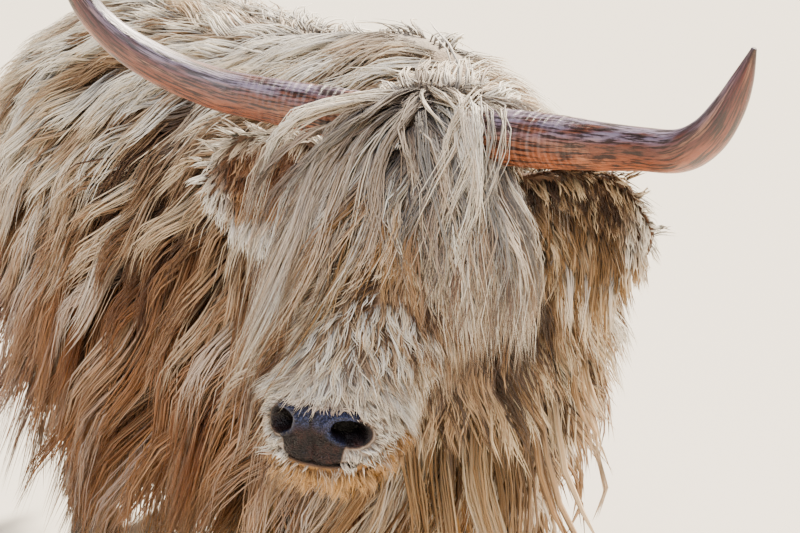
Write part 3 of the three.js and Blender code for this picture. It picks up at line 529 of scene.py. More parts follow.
def markings(points):
    """Shares of rust, gold and white in the hair at places in metres."""
    x, y, z = drawn(points).T
    fx, fy, fz = face_place(points).T
    s = -fy
    near_head = smooth(300, 230, np.sqrt(fx**2 + ((s - 190) * 0.72) ** 2 + (fz + 90) ** 2))
    patch = 0.5 + 0.5 * waves(points, 0.4, 3)
    fine = 0.5 + 0.5 * waves(points, 0.13, 5)
    # rust in the shade of flank, shoulder and breast, and over the cheeks and the nose
    low_flank = smooth(860, 660, z) * smooth(430, 520, z) * smooth(60, -60, x)
    rust = (0.15 + 0.4 * patch * fine + 0.5 * low_flank) * smooth(1000, 650, z)
    rust *= smooth(-600, -430, y) * (1 - near_head)
    rust += 0.35 * fine * bump_at(s, 205, 80) * smooth(20, 90, np.abs(fx)) * near_head
    above_pad = bump_at(s, 392, 12) * smooth(-60, -35, fz) * smooth(70, 30, np.abs(fx))
    rust += 0.55 * above_pad * near_head
    # gold along the belly, the legs and under the chin
    belly = smooth(520, 440, z) * smooth(390, 440, z) * smooth(-480, -350, y)
    rust *= 1 - 0.9 * belly
    gold = 0.6 * belly + 0.3 * fine * smooth(900, 600, z) * smooth(260, 420, z)
    off, mouth = lip_place(np.stack([fx, fy, fz], 1))
    chin = smooth(-1, -7, off) * mouth * near_head
    gold = gold * (1 - near_head) + chin
    # white on the muzzle, and along the back, where the white is painted sunlight
    white = (0.2 + 0.5 * fine) * smooth(300, 350, s) * near_head * (1 - chin)
    white += 0.35 * smooth(0.3, 0.9, patch) * smooth(850, 1050, z)
    return np.clip(np.stack([rust, gold, white], 1), 0, 1)


# ------------------------------------------------------------------ materials
TIMES, PLUS, MINUS, SINE = (
    {"operation": kind} for kind in ("MULTIPLY", "ADD", "SUBTRACT", "SINE")
)
EASED = {"interpolation_type": "SMOOTHSTEP"}
COLOURS = {"data_type": "RGBA", "out": 2}  # a Mix node's settings and output for colours


def linear(hex_colour):
    """An sRGB hex colour as the linear RGBA that shaders take."""
    parts = [int(hex_colour[i : i + 2], 16) / 255 for i in (1, 3, 5)]
    return [p / 12.92 if p <= 0.04045 else ((p + 0.055) / 1.055) ** 2.4 for p in parts] + [1.0]


def add_node(tree, kind, inputs=(), out=0, stops=(), **settings):
    """Adds a node with its settings and links, and gives one of its outputs.

    Inputs are a list in the node's own order, or a dict; a text is a hex colour. Stops are the
    pairs of place and hex colour of a ramp.
    """
    made = tree.nodes.new("ShaderNode" + kind)
    for key, value in settings.items():
        setattr(made, key, value)
    for key, value in inputs.items() if isinstance(inputs, dict) else enumerate(inputs):
        if isinstance(value, bpy.types.NodeSocket):
            tree.links.new(value, made.inputs[key])
        else:
            made.inputs[key].default_value = linear(value) if isinstance(value, str) else value
    for _ in stops[2:]:
        made.color_ramp.elements.new(0.5)
    for i, (place, hex_colour) in enumerate(stops):
        made.color_ramp.elements[i].position = place
        made.color_ramp.elements[i].color = linear(hex_colour)
    return made.outputs[out]


def finish_of(name, roughness, specular, **constants):
    """A new material, what adds nodes to it, and its shader."""
    made = bpy.data.materials.new(name)
    made.use_nodes = True
    shader = made.node_tree.nodes["Principled BSDF"]
    constants |= {"Roughness": roughness, "Specular_IOR_Level": specular}
    for key, value in constants.items():
        shader.inputs[key.replace("_", " ")].default_value = value
    return made, partial(add_node, made.node_tree), shader


def feed(add, shader, colour, relief=None, strength=1.0, depth=0.001):
    """Gives a shader its colour, and its relief as a bump that is depth metres high."""
    link = shader.id_data.links.new
    link(colour, shader.inputs["Base Color"])
    if relief:
        bump = add("Bump", {"Height": relief, "Strength": strength, "Distance": depth})
        link(bump, shader.inputs["Normal"])


def marked(add, colour):
    """Tints a hair colour with the shares of rust, gold and white at its root."""
    shares = add("Attribute", out="Color", attribute_name="marks")
    for channel, hex_colour in (("Red", "#96582f"), ("Green", "#cf9a52"), ("Blue", "#fbf7ef")):
        share = add("SeparateColor", [shares], out=channel)
        share = add("Math", [share, 0.85], **TIMES)
        colour = add("Mix", {0: share, 6: colour, 7: hex_colour}, **COLOURS)
    return colour


# Long guard hair: each tuft is a few hundred hairs, from grey-brown through blond to cream, dull
# with a soft shine along it, and darker at the root, its own colour with painted shade over it.
HAIR_TONES = [
    (0.0, "#33231a"),
    (0.22, "#745539"),
    (0.45, "#ba9b79"),
    (0.7, "#ecd9ba"),
    (1.0, "#fffcf3"),
]
# The forelock runs from grey-brown through old gold to cream.
FORELOCK_TONES = [
    (0.0, "#1e140f"),
    (0.24, "#5b4532"),
    (0.48, "#a38767"),
    (0.74, "#e9d7b6"),
    (1.0, "#fffaec"),
]


def hair_finish(name, tones, root, shade):
    """Dull hair with a soft shine. Shade says how much root colour shows at the root, as painted
    shade.
    """
    made, add, shader = finish_of(name, 0.55, 0.22, Sheen_Weight=0.12, Sheen_Roughness=0.4)
    tint = add("Attribute", out="Fac", attribute_name="tint")
    place = add("UVMap", uv_map="Strand")
    along_hair = add("SeparateXYZ", [place], out="Y")
    # single hairs are 0.06 mm; they are drawn about 0.8 mm wide so that they show
    drawn_out = add("Mapping", {"Vector": place, "Scale": (8.0, 1.1, 1.0)})
    noise = {"Vector": drawn_out, "Scale": 1.0, "Detail": 2.0, "Roughness": 0.6}
    hairs = add("TexNoise", noise)
    shift = add("Math", [hairs, 0.5], **MINUS)
    shift = add("Math", [shift, 0.75], **TIMES)
    tone = add("Math", [tint, shift], **PLUS)
    toned = marked(add, add("ValToRGB", [tone], stops=tones))
    # the hair darkens to its root: its own darker colour there, with painted shade
    root_shade = add("MapRange", [along_hair, 0.05, 0.7, shade, 0.0], **EASED)
    colour = add("Mix", {0: root_shade, 6: toned, 7: root}, **COLOURS)
    feed(add, shader, colour, hairs, 0.6, 0.0015)
    return made


COAT_FINISH = hair_finish("long_coat_hair", HAIR_TONES, "#3a2519", 0.8)
FORELOCK_FINISH = hair_finish("forelock_hair", FORELOCK_TONES, "#2c1c13", 0.8)
FACE_HAIR_FINISH = hair_finish("short_face_hair", HAIR_TONES, "#4a3324", 0.6)


def hide_finish():
    """Skin under dense woolly undercoat: matt grey-brown, in fine ridges where the wool parts."""
    made, add, shader = finish_of("hide_with_undercoat", 0.85, 0.2)
    place = add("TexCoord", out="Object")
    drawn_out = add("Mapping", {"Vector": place, "Scale": (1.0, 1.0, 0.2)})
    # undercoat wool parts about every 4 mm
    wool = add("TexNoise", {"Vector": drawn_out, "Scale": 240.0, "Detail": 4.0})
    # the darker tones are partly the undercoat's colour and partly painted shade for gaps between
    # locks
    stops = [(0.3, "#4d3c2f"), (0.5, "#7a6551"), (0.72, "#a5927a")]
    feed(add, shader, marked(add, add("ValToRGB", [wool], stops=stops)), wool, 0.8, 0.004)
    return made


def face_skin_finish():
    """Short-haired skin of the face, going over to bare, moist, pebbled leather at the nose."""
    made, add, shader = finish_of("face_skin_and_nose_leather", 0.6, 0.2)
    place = add("TexCoord", out="Object")
    bare, recess_shade, sheen_band = (
        add("Attribute", out="Fac", attribute_name=name) for name in ("bare", "recess_shade", "sheen_band")
    )
    down = add("TexNoise", {"Vector": place, "Scale": 420.0, "Detail": 3.0})
    stops = [(0.3, "#5a4637"), (0.55, "#8c7660"), (0.8, "#b8a68c")]
    fur = marked(add, add("ValToRGB", [down], stops=stops))
    # painted shade: the skin is darkened to brown under the short face hair
    fur = add("Mix", {0: 0.6, 6: fur, 7: "#5a4232"}, **COLOURS)
    # thin hair lets the brown skin show round the nose
    near = add("MapRange", [bare, 0.0, 0.25], **EASED)
    near = add("Math", [near, 0.8], **TIMES)
    fur = add("Mix", {0: near, 6: fur, 7: "#3a2620"}, **COLOURS)
    # the nose is set with pebbles about 2.2 mm across
    pebbles = add("TexVoronoi", {"Vector": place, "Scale": 450.0})
    patches = add("TexNoise", {"Vector": place, "Scale": 55.0, "Detail": 4.0})
    stops = [(0.3, "#0b0809"), (0.5, "#1c1213"), (0.72, "#3a211d")]
    leather = add("ValToRGB", [patches], stops=stops)
    # painted sheen pales the nose in a band between the nostrils, and painted shade darkens the
    # creases between the pebbles, the nostrils, the eyes' rims and the line of the mouth
    creases = add("MapRange", [pebbles, 0.28, 0.62, 0.0, 0.75], **EASED)
    for share, hex_colour in ((sheen_band, "#3a4262"), (creases, "#040203"), (recess_shade, "#020101")):
        leather = add("Mix", {0: share, 6: leather, 7: hex_colour}, **COLOURS)
    skinned = add("MapRange", [bare, 0.3, 0.6], **EASED)
    colour = add("Mix", {0: skinned, 6: fur, 7: leather}, **COLOURS)
    moist = add("MapRange", [bare, 0.3, 0.8, 0.8, 0.36], **EASED)
    shader.id_data.links.new(moist, shader.inputs["Roughness"])
    raised = add("Math", [0.8, pebbles], **MINUS)
    raised = add("Math", [raised, bare], **TIMES)
    downy = add("Math", [down, 0.4], **TIMES)
    feed(add, shader, colour, add("Math", [raised, downy], **PLUS), 0.9, 0.0012)
    return made


HORN_TONES = [
    (0.0, "#8f5f47"),
    (0.2, "#7a4834"),
    (0.5, "#663629"),
    (0.75, "#4a2024"),
    (0.93, "#571c14"),
    (1.0, "#140b0c"),
]
GROWTH_RIDGES = 0.009  # metres between them near a horn's base


def horn_finish():
    """Horn: layered keratin, half polished and flaked, brown at the base and dark at the tip."""
    polish = {"Coat_Weight": 0.25, "Coat_Roughness": 0.3}
    made, add, shader = finish_of("weathered_horn", 0.36, 0.5, **polish)
    place = add("UVMap", uv_map="Horn")
    share, upward, under = (
        add("Attribute", out="Fac", attribute_name=name)
        for name in ("along", "upward", "under")
    )
    # flakes and cracks run lengthwise, about 3 mm apart and 40 mm long
    flaked = add("Mapping", {"Vector": place, "Scale": (300.0, 22.0, 1.0)})
    noise = {"Vector": flaked, "Scale": 1.0, "Detail": 5.0, "Roughness": 0.65}
    flakes = add("TexNoise", noise)
    blotched = add("Mapping", {"Vector": place, "Scale": (60.0, 14.0, 1.0)})
    blotches = add("TexNoise", {"Vector": blotched, "Scale": 1.0, "Detail": 3.0})
    # a painted sheen on top in grey-violet, and below, warmer and redder, a painted reflection
    light = add("MapRange", [blotches, 0.5, 0.72, 0.0, 0.55], **EASED)
    top = add("MapRange", [upward, 0.0, 0.7], **EASED)
    spots = add("MapRange", [blotches, 0.35, 0.55], **EASED)
    top = add("Math", [top, spots], **TIMES)
    top = add("Math", [top, 0.8], **TIMES)
    low = add("Math", [under, 0.55], **TIMES)
    dark = add("MapRange", [flakes, 0.46, 0.56, 0.0, 0.95], **EASED)
    colour = add("ValToRGB", [share], stops=HORN_TONES)
    shares = ((light, "#b98767"), (top, "#8d86a0"), (low, "#b5602c"), (dark, "#22110f"))
    for part, hex_colour in shares:
        colour = add("Mix", {0: part, 6: colour, 7: hex_colour}, **COLOURS)
    # growth ridges fade along the horn
    run = add("SeparateXYZ", [place], out="Y")
    run = add("Math", [run, TAU / GROWTH_RIDGES], **TIMES)
    fade = add("MapRange", [share, 0.05, 0.5, 0.16, 0.0], **EASED)
    ridge = add("Math", [add("Math", [run], **SINE), fade], **TIMES)
    flaking = add("Math", [flakes, 0.9], **TIMES)
    feed(add, shader, colour, add("Math", [ridge, flaking], **MINUS), 0.9, 0.003)
    return made


HOOF_LINES = 1570.0  # radians a metre up, which is a line every 4 mm


def hoof_finish():
    """Hoof horn: matt, dark, with growth lines round it about 4 mm apart."""
    made, add, shader = finish_of("hoof_horn", 0.55, 0.4)
    place = add("TexCoord", out="Object")
    uneven = add("TexNoise", {"Vector": place, "Scale": 60.0, "Detail": 4.0})
    height = add("SeparateXYZ", [place], out="Z")
    height = add("Math", [height, HOOF_LINES], **TIMES)
    height = add("Math", [height, uneven], **PLUS)
    bent = add("Math", [uneven, 5.0], **TIMES)
    lines = add("Math", [add("Math", [height, bent], **PLUS)], **SINE)
    stops = [(0.3, "#231d19"), (0.55, "#43382f"), (0.75, "#6d5d4c")]
    feed(add, shader, add("ValToRGB", [uneven], stops=stops), lines, 0.35, 0.0012)
    return made


def eye_finish():
    """Eye: clear wet cornea over a dark brown iris and a wide level pupil."""
    made, add, shader = finish_of("eye_wet", 0.1, 0.25, Coat_Weight=0.12, Coat_Roughness=0.03)
    iris = add("Attribute", out="Fac", attribute_name="iris")
    stops = [(0.0, "#060404"), (0.3, "#0b0705"), (0.36, "#2b170c"), (0.68, "#1c0f09")]
    stops += [(0.8, "#3a2b24")]
    feed(add, shader, add("ValToRGB", [iris], stops=stops))
    return made


def udder_finish():
    """Bare pink-brown skin of the udder, in fine creases under thin down."""
    made, add, shader = finish_of("udder_skin", 0.6, 0.35)
    place = add("TexCoord", out="Object")
    blush = add("TexNoise", {"Vector": place, "Scale": 30.0, "Detail": 4.0})
    # creases about 3 mm apart
    creases = add("TexVoronoi", {"Vector": place, "Scale": 330.0})
    stops = [(0.3, "#a9796a"), (0.55, "#c79a86"), (0.75, "#d9b6a0")]
    feed(add, shader, add("ValToRGB", [blush], stops=stops), creases, 0.4, 0.0008)
    return made


HIDE_FINISH = hide_finish()
UDDER_FINISH = udder_finish()
FACE_SKIN_FINISH = face_skin_finish()
HORN_FINISH = horn_finish()
HOOF_FINISH = hoof_finish()
EYE_FINISH = eye_finish()


def finished(piece, material, slot, *nodes):
    """Dresses a piece and hides the parts of the model that it stands for."""
    piece.data.materials.clear()
    piece.data.materials.append(material)
    piece.data.shade_smooth()
    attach(piece, "root")
    if nodes:
        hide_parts(*nodes)
    return piece


# ------------------------------------------------------------------ the skin of the body
BODY_VOXEL = 0.011
HEAD_VOXEL = 0.0026
UDDER_VOXEL = 0.0055


def teat(x, y):
    """A teat, x and y being the side of the bag that it's on."""
    bag = UDDER["at"]
    low = bag[2] - UDDER["size"][2]
    at = (x * TEAT["x"], bag[1] + y * TEAT["y"])
    sizes = ((20, TEAT["top"]), (-8, TEAT["top"]), (-22, TEAT["tip"]))
    rows = [(*at, low + z, half, half, half, 0) for z, half in sizes]
    return Loft(rows, upright=(0, 1, 0)).shape(8, 14)


def udder_piece():
    """The bag and its four teats."""
    bag = np.diag([*(np.array(UDDER["size"]) * MM), 1.0])
    bag[:3, 3] = placed(UDDER["at"])
    shapes = [ball(bag, 30, 48)] + [teat(x, y) for x in (1, -1) for y in (1, -1)]
    bare = fused("udder_skin", shapes, UDDER_VOXEL, 4)
    finished(bare, UDDER_FINISH, "udder", "udder")


def body_skin():
    """Trunk, neck, tail and legs as one skin."""
    shapes = [trunk.shape(60, 64), neck.shape(30, 48), tail.shape(40, 20)]
    shapes += [loft.shape(36, 32) for loft in legs.values()]
    return fused("body_skin", shapes, BODY_VOXEL, 3)


body = body_skin()
paint(body.data, "marks", markings(corners(body.data)))
BODY_NODES = ["torso", "neck", "tail", "tail_switch"] + [
    f"leg_{leg}_{side}_{part}" for leg in LEGS for side in SIDES for part in ("upper", "lower")
]
finished(body, HIDE_FINISH, "coat", *BODY_NODES)
udder_piece()


# ------------------------------------------------------------------ the skin of the head
def pad_place(points):
    """Where face millimetres lie on the bare nose: across, up it, and out of it."""
    lean = math.radians(PAD["lean"])
    up = np.array([0, math.sin(lean), math.cos(lean)])
    out = np.array([0, -math.cos(lean), math.sin(lean)])
    rel = points - np.array([0, -PAD["s"], PAD["z"]])
    return rel[:, 0], rel @ up, rel @ out


def pad_share(points):
    """1 on the bare nose, easing to 0 within a few millimetres outside its shield outline."""
    across, up, out = pad_place(points)
    share = np.clip((up + PAD["below"]) / (PAD["above"] + PAD["below"]), 0, 1)
    half = PAD["bottom"] + (PAD["top"] - PAD["bottom"]) * share**1.3
    half -= 14 * smooth(0.86, 1.06, share) + 8 * smooth(0.16, -0.05, share)
    side = half - np.abs(across)
    inside = np.minimum(side, np.minimum(PAD["above"] - up, up + PAD["below"]))
    return smooth(-2.0, 2.5, inside) * smooth(-46, -36, out)


def bare_share(points):
    """The bare nose with the rims of the nostrils."""
    share = pad_share(points)
    for side in SIDES.values():
        oval, ahead, _ = nostril_place(points, side)
        its_half = (ahead > -30) * (points[:, 0] * side > 0)
        share = np.maximum(share, smooth(1.3, 1.12, oval) * its_half)
    return share


def nostril_place(points, side):
    """Place in a nostril's own oval, and how far the point lies along its way out."""
    lean = math.radians(PAD["lean"])
    out = np.array([side * 0.95, -math.cos(lean), math.sin(lean)])
    at = np.array(NOSTRIL["at"]) * (side, 1, 1)
    matrix = looking(at, out, (1, 1, 1))
    rel = (points - at) @ matrix[:3, :3]
    tilt = rel[:, 1] + side * 0.28 * rel[:, 0]
    return np.hypot(rel[:, 0] / NOSTRIL["wide"], tilt / NOSTRIL["high"]), rel[:, 2], matrix[:3, 2]


def eye_matrix(side, size=1.0):
    """Where an eye is on the face and which way it looks; side is 1 for her left."""
    return looking(np.array(EYE) * (side, 1, 1), (side, *EYE_WAY), (size,) * 3)


def lid_place(points, side):
    """How far out from an eye's middle a point lies, 1 on the lid's edge, and whether above it."""
    matrix = eye_matrix(side)
    rel = (points - matrix[:3, 3]) @ matrix[:3, :3]
    tall = LID["high"] * (1 - 0.5 * np.clip(np.abs(rel[:, 0]) / LID["long"], 0, 1) ** 2)
    open_share = np.hypot(rel[:, 0] / LID["long"], rel[:, 1] / tall)
    elsewhere = 9.0 * (rel[:, 2] < -30)
    return open_share + elsewhere, rel[:, 1] > 0, matrix[:3, 2]


def head_skin():
    """The skull and the chin as one skin."""
    chin = np.diag([*CHIN["size"], 1.0])
    chin[:3, 3] = (0, -CHIN["s"], CHIN["z"])
    chin_points, chin_faces = ball(chin, 24, 36)
    shapes = [skull.shape(90, 72), (on_face(chin_points), chin_faces)]
    return fused("head_skin", shapes, HEAD_VOXEL, 3)


def sculpt(head):
    """Works nostrils, lips and the pad of the nose into the skin, in face millimetres."""
    ways = normals(head.data) @ FACE
    place = face_place(corners(head.data))
    pad = pad_share(place)
    bare = bare_share(place)
    across, up, _ = pad_place(place)
    # painted sheen across the top of the pad
    sheen_band = pad * smooth(4, 18, up) * smooth(36, 26, up) * (1 - bump_at(across, 0, 3)) * 0.8
    rise = 1.2 * pad
    # a shallow groove down the middle of the nose and a dip over it
    rise -= 2.6 * pad * bump_at(across, 0, 4.5) * smooth(18, -12, up)
    rise += 1.6 * pad * bump_at(np.abs(across), 13, 8) * smooth(20, -10, up)
    recess_shade = np.zeros(len(place))
    moved = place.copy()
    for side in SIDES.values():
        oval, ahead, way = nostril_place(place, side)
        its_half = place[:, 0] * side > 0
        # painted sheen round the rim of each nostril
        sheen_band = np.maximum(sheen_band, 0.8 * bump_at(oval, 1.12, 0.14) * its_half * pad)
        front = (ahead > -26) & its_half
        hole = smooth(1.02, 0.72, oval) * front
        moved -= (NOSTRIL["deep"] * hole)[:, None] * way
        rise += 3.4 * (bump_at(oval, 1.28, 0.2) * front)
        # painted shade deep in the nostril
        recess_shade = np.maximum(recess_shade, smooth(0.95, 0.6, oval) * front)
    # lids rolled round the eyes, with a fold over each and the skin inside drawn back
    for side in SIDES.values():
        lid, above, way = lid_place(place, side)
        rise += bump_at(lid, 1.22, 0.26) * np.where(above, 6.0, 4.2)
        rise += above * (2.2 * bump_at(lid, 2.25, 0.35) - 2.4 * bump_at(lid, 1.75, 0.2))
        rise -= ~above * 1.2 * bump_at(lid, 1.8, 0.25)
        moved -= (7 * smooth(1.02, 0.75, lid))[:, None] * way
        bare = np.maximum(bare, smooth(1.36, 1.2, lid))
        # painted shade in the gap round the eye
        recess_shade = np.maximum(recess_shade, 0.8 * smooth(1.06, 0.96, lid))
    # the line of the mouth, with a lip rolled on each side of it
    s = -place[:, 1]
    off, reach = lip_place(place)
    rise -= 7 * reach * bump_at(off, 0, 2.4)
    rise += 2.4 * reach * bump_at(off, 8, 6) + 2.0 * reach * bump_at(off, -8, 6)
    front = reach * smooth(56, 44, np.abs(place[:, 0]))
    bare = np.maximum(bare, front * bump_at(off, 0, 3.6))
    # painted shade along the line of the mouth
    recess_shade = np.maximum(recess_shade, 0.9 * front * bump_at(off, 0, 3))
    # cheek bone, brow and the hollow before the eye
    rise += 4 * bump_at(s, 150, 40) * bump_at(place[:, 2], -92, 26)
    rise += 3 * bump_at(s, 100, 26) * bump_at(np.abs(place[:, 0]), 92, 18)
    moved += ways * rise[:, None]
    reshape(head.data, on_face(moved))
    mesh = head.data
    paint(mesh, "bare", bare)
    paint(mesh, "recess_shade", recess_shade)
    paint(mesh, "sheen_band", np.clip(sheen_band, 0, 1))
    paint(mesh, "marks", markings(corners(mesh)))


def whole_head():
    """The skin of the head and that of the ears."""
    head = head_skin()
    sculpt(head)
    ear_points, ear_faces = merged([ears[side].shape(30, 36) for side in SIDES])
    ear_object = mesh_object("ear_skin", ear_points, ear_faces)
    outward(ear_object.data)
    for name, share in (("bare", 0.15), ("recess_shade", 0.0), ("sheen_band", 0.0)):
        paint(ear_object.data, name, np.full(len(ear_points), share))
    shares = markings(ear_points)
    shares[:, 0] = 0.25
    paint(ear_object.data, "marks", shares)
    return head, ear_object


head, ear_skin = whole_head()
finished(head, FACE_SKIN_FINISH, "face", "head", "muzzle", "nose_pad")
finished(ear_skin, FACE_SKIN_FINISH, "face", "ear_left", "ear_right")


# ------------------------------------------------------------------ horns, eyes and feet
HORN_MESH = {"rings": 150, "sides": 48}
HORN_GIRTH = 0.19  # metres round a horn, for its pattern
HORN_SEAM = (0.04, 0.15)  # a face that reaches past both of these lies over the pattern's seam
HORN_SWELLS = 0.021  # metres between the swellings near its base


def horn_piece(side):
    """A horn, slightly swollen in rings near its base, with its pattern's place in metres."""
    rows = np.array(HORN[side], float)
    middle = POLL + rows[:, :3] @ LEVEL.T
    radius = rows[:, 3:]
    loft = Loft(np.hstack([middle, radius, radius, radius, radius * 0]), square=2.0)
    count, sides = HORN_MESH["rings"], HORN_MESH["sides"]
    t, angle = grid(count, sides)
    rings = loft.at(t, angle)
    centre = placed(loft.frame(t)[0])
    line = placed(loft.frame(np.linspace(0, 1, count))[0])
    run = np.concatenate([[0], np.cumsum(np.linalg.norm(np.diff(line, axis=0), axis=1))])
    reach = np.repeat(run, sides)
    swell = 0.014 * np.sin(reach * TAU / HORN_SWELLS + 1.5 * np.sin(angle)) * smooth(0.45, 0.1, t)
    uneven = np.stack([np.cos(angle) * 0.05, np.sin(angle) * 0.05, reach * 0.35], 1)
    swell += 0.018 * waves(uneven, 0.05, 4)
    rings = centre + (rings - centre) * (1 + swell)[:, None]
    points, faces = closed_tube(rings.reshape(count, sides, 3))
    horn = mesh_object(f"horn_{side}_fine", points, faces)
    outward(horn.data)
    share = np.concatenate([t, [0, 1]])
    paint(horn.data, "along", share)
    paint(horn.data, "upward", np.clip(normals(horn.data)[:, 2], 0, 1))
    paint(horn.data, "under", np.clip(-normals(horn.data)[:, 2], 0, 1))
    u = np.concatenate([angle / TAU * HORN_GIRTH, [0, 0]])
    v = np.concatenate([reach, [0, run[-1]]])
    loops = read(horn.data.loops, "vertex_index")
    uv = np.stack([u[loops], v[loops]], 1)
    # close the seam where the angle wraps
    totals = read(horn.data.polygons, "loop_total")
    owner = np.repeat(np.arange(len(totals)), totals)
    widest = np.zeros(len(totals))
    np.maximum.at(widest, owner, uv[:, 0])
    wraps = (widest[owner] > HORN_SEAM[1]) & (uv[:, 0] < HORN_SEAM[0])
    uv[wraps, 0] += HORN_GIRTH
    layer = horn.data.uv_layers.new(name="Horn")
    layer.data.foreach_set("uv", uv.astype(np.float32).ravel())
    return finished(horn, HORN_FINISH, "horn", f"horn_{side}")


def eye_piece(side):
    """An eyeball, with how far out from its pupil each place is."""
    radius = EYE_RADIUS - EYE_SUNK
    matrix = eye_matrix(SIDES[side], radius)
    points, faces = ball(matrix, 30, 40)
    local = (points - matrix[:3, 3]) @ matrix[:3, :3] / radius**2
    off = np.hypot(local[:, 0] * 0.72, local[:, 1] * 1.25)
    eye = mesh_object(f"eye_{side}_ball", on_face(points), faces)
    outward(eye.data)
    paint(eye.data, "iris", np.where(local[:, 2] > 0, off, 1.0))
    finished(eye, EYE_FINISH, "eye", f"eye_{side}")


def foot_middle(leg, side, share=1.0):
    """The middle of a foot; share says how much of the leg's step is left at a height."""
    x, y = LEGS[leg]["foot"]
    return SIDES[side] * x, y + LEGS[leg]["step"][side] * share


def level_ring(x, y, z):
    return placed(np.stack([x, y, np.full(len(x), z)], 1))


def claw_shape(leg, side, way):
    """One of the two main claws; way is 1 for the one to her left."""
    x_middle, y_middle = foot_middle(leg, side)
    angle = np.arange(CLAW_MESH["sides"]) / CLAW_MESH["sides"] * TAU
    c, s = np.cos(angle), np.sin(angle)
    power = 2 / CLAW_MESH["square"]
    rings = []
    rows = along(np.array(CLAW, float), np.linspace(0, 1, CLAW_MESH["rings"]))
    for z, half, toe, heel, out in rows:
        ridge = 1 + 0.012 * math.sin(z * 0.9)
        x = np.sign(c) * np.abs(c) ** power * half
        y = -np.sign(s) * np.abs(s) ** power * np.where(s > 0, toe, heel)
        rings.append(level_ring(x_middle + way * out + x * ridge, y_middle + y * ridge, z))
    return closed_tube(np.array(rings))


def dewclaw_shape(leg, side, way):
    """A dewclaw behind the foot, drawn from its top down."""
    x_middle, y_middle = foot_middle(leg, side, 1 - DEWCLAW["z"] / LEG_TOP)
    halves = np.array(DEWCLAW["rows"], float)[:, None]
    sizes = along(halves, np.linspace(0, 1, DEWCLAW_MESH["rings"]))[:, 0]
    angle = np.arange(DEWCLAW_MESH["sides"]) / DEWCLAW_MESH["sides"] * TAU
    rings = []
    for i, half in zip(np.linspace(0, 3, DEWCLAW_MESH["rings"]), sizes):
        x = x_middle + way * DEWCLAW["out"]
        y = y_middle + DEWCLAW["back"] - 2 * i
        z = DEWCLAW["z"] + (1.5 - i) * DEWCLAW["drop"]
        rings.append(level_ring(x + half * np.cos(angle), y + half * np.sin(angle), z))
    return closed_tube(np.array(rings))


KINDS = ("hoof", "dewclaw")


def foot_piece(leg, side):
    """The four claws of a foot."""
    shapes = [claw_shape(leg, side, way) for way in (1, -1)]
    shapes += [dewclaw_shape(leg, side, way) for way in (1, -1)]
    foot = mesh_object(f"hooves_{leg}_{side}", *merged(shapes))
    outward(foot.data)
    nodes = [f"{kind}_{leg}_{side}_{row}" for kind in KINDS for row in ("inner", "outer")]
    finished(foot, HOOF_FINISH, "hoof", *nodes)


horns = [horn_piece(side) for side in SIDES]
for side in SIDES:
    eye_piece(side)
    for leg in LEGS:
        foot_piece(leg, side)


# ------------------------------------------------------------------ what hair grows and lies on
class Ground:
    """Skins that give the nearest place to a point, the way out there, and how high it is."""

    def __init__(self, pieces):
        meshes = [piece.data for piece in pieces]
        shapes = [(corners(mesh), [face.vertices for face in mesh.polygons]) for mesh in meshes]
        points, faces = merged(shapes)
        self.tree = BVHTree.FromPolygons(points.tolist(), faces)
        first_three = np.array([face[:3] for face in faces])
        ways = np.concatenate([normals(mesh) for mesh in meshes])
        self.ways = unit(ways[first_three].sum(1))

    def nearest(self, points):
        found = [self.tree.find_nearest(p) for p in points.tolist()]
        place = np.array([f[0] for f in found])
        out = self.ways[[f[2] for f in found]]
        height = ((points - place) * out).sum(1)
        away = np.array([f[3] for f in found])
        return place, out, np.where(height > 0, away, -away)


ground = Ground([body, head])
ground_with_horns = Ground([body, head, *horns])
ground_of_ears = Ground([body, head, ear_skin])


CELLS = (60, 72)  # along and round a loft, for spreading hairs over it


def scatter(loft, count, t_span, weight):
    """Random places on a loft, even over its surface times a weight, as t and angle."""
    t_edge = np.linspace(*t_span, CELLS[0] + 1)
    a_edge = np.linspace(0, TAU, CELLS[1] + 1)
    t, a = np.meshgrid(t_edge, a_edge, indexing="ij")
    net = loft.at(t.ravel(), a.ravel() % TAU).reshape(*t.shape, 3)
    first = net[:-1, :-1]
    area = np.linalg.norm(np.cross(net[1:, :-1] - first, net[:-1, 1:] - first), axis=-1)
    if weight:
        middle = (t[1:, 1:] + t[:-1, 1:]) / 2
        area = area * weight(middle.ravel(), a[1:, 1:].ravel()).reshape(CELLS)
    cell = draw.choice(area.size, count, p=area.ravel() / area.sum())
    t = t_edge[cell // CELLS[1]] + draw.random(count) * (t_edge[1] - t_edge[0])
    angle = a_edge[cell % CELLS[1]] + draw.random(count) * (a_edge[1] - a_edge[0])
    return t, angle


class Roots:
    """Where hairs grow: place, way out, and place on the unwrapped skin."""

    def __init__(self, on, loft, t, angle, patch, buried):
        place = loft.at(t, angle)
        near, out, height = on.nearest(place)
        keep = np.abs(height) < buried
        self.place = near[keep]
        self.out = out[keep]
        self.t, self.angle = t[keep], angle[keep]
        # each part of the body is a strip of its own on the unwrap
        left, low, wide, high = patch
        self.uv = np.stack([left + wide * self.angle / TAU, low + high * self.t], 1)

    def only(self, keep):
        for name in ("place", "out", "t", "angle", "uv"):
            setattr(self, name, getattr(self, name)[keep])

    def __len__(self):
        return len(self.place)


LIFT_AT_ROOT = 0.25  # share of its layer that a guide hair keeps off the skin at its root
LIFT_RATE = 1.6  # how fast the rest comes along it
SWINGS = 5.5  # radians that a guide hair swings along its length


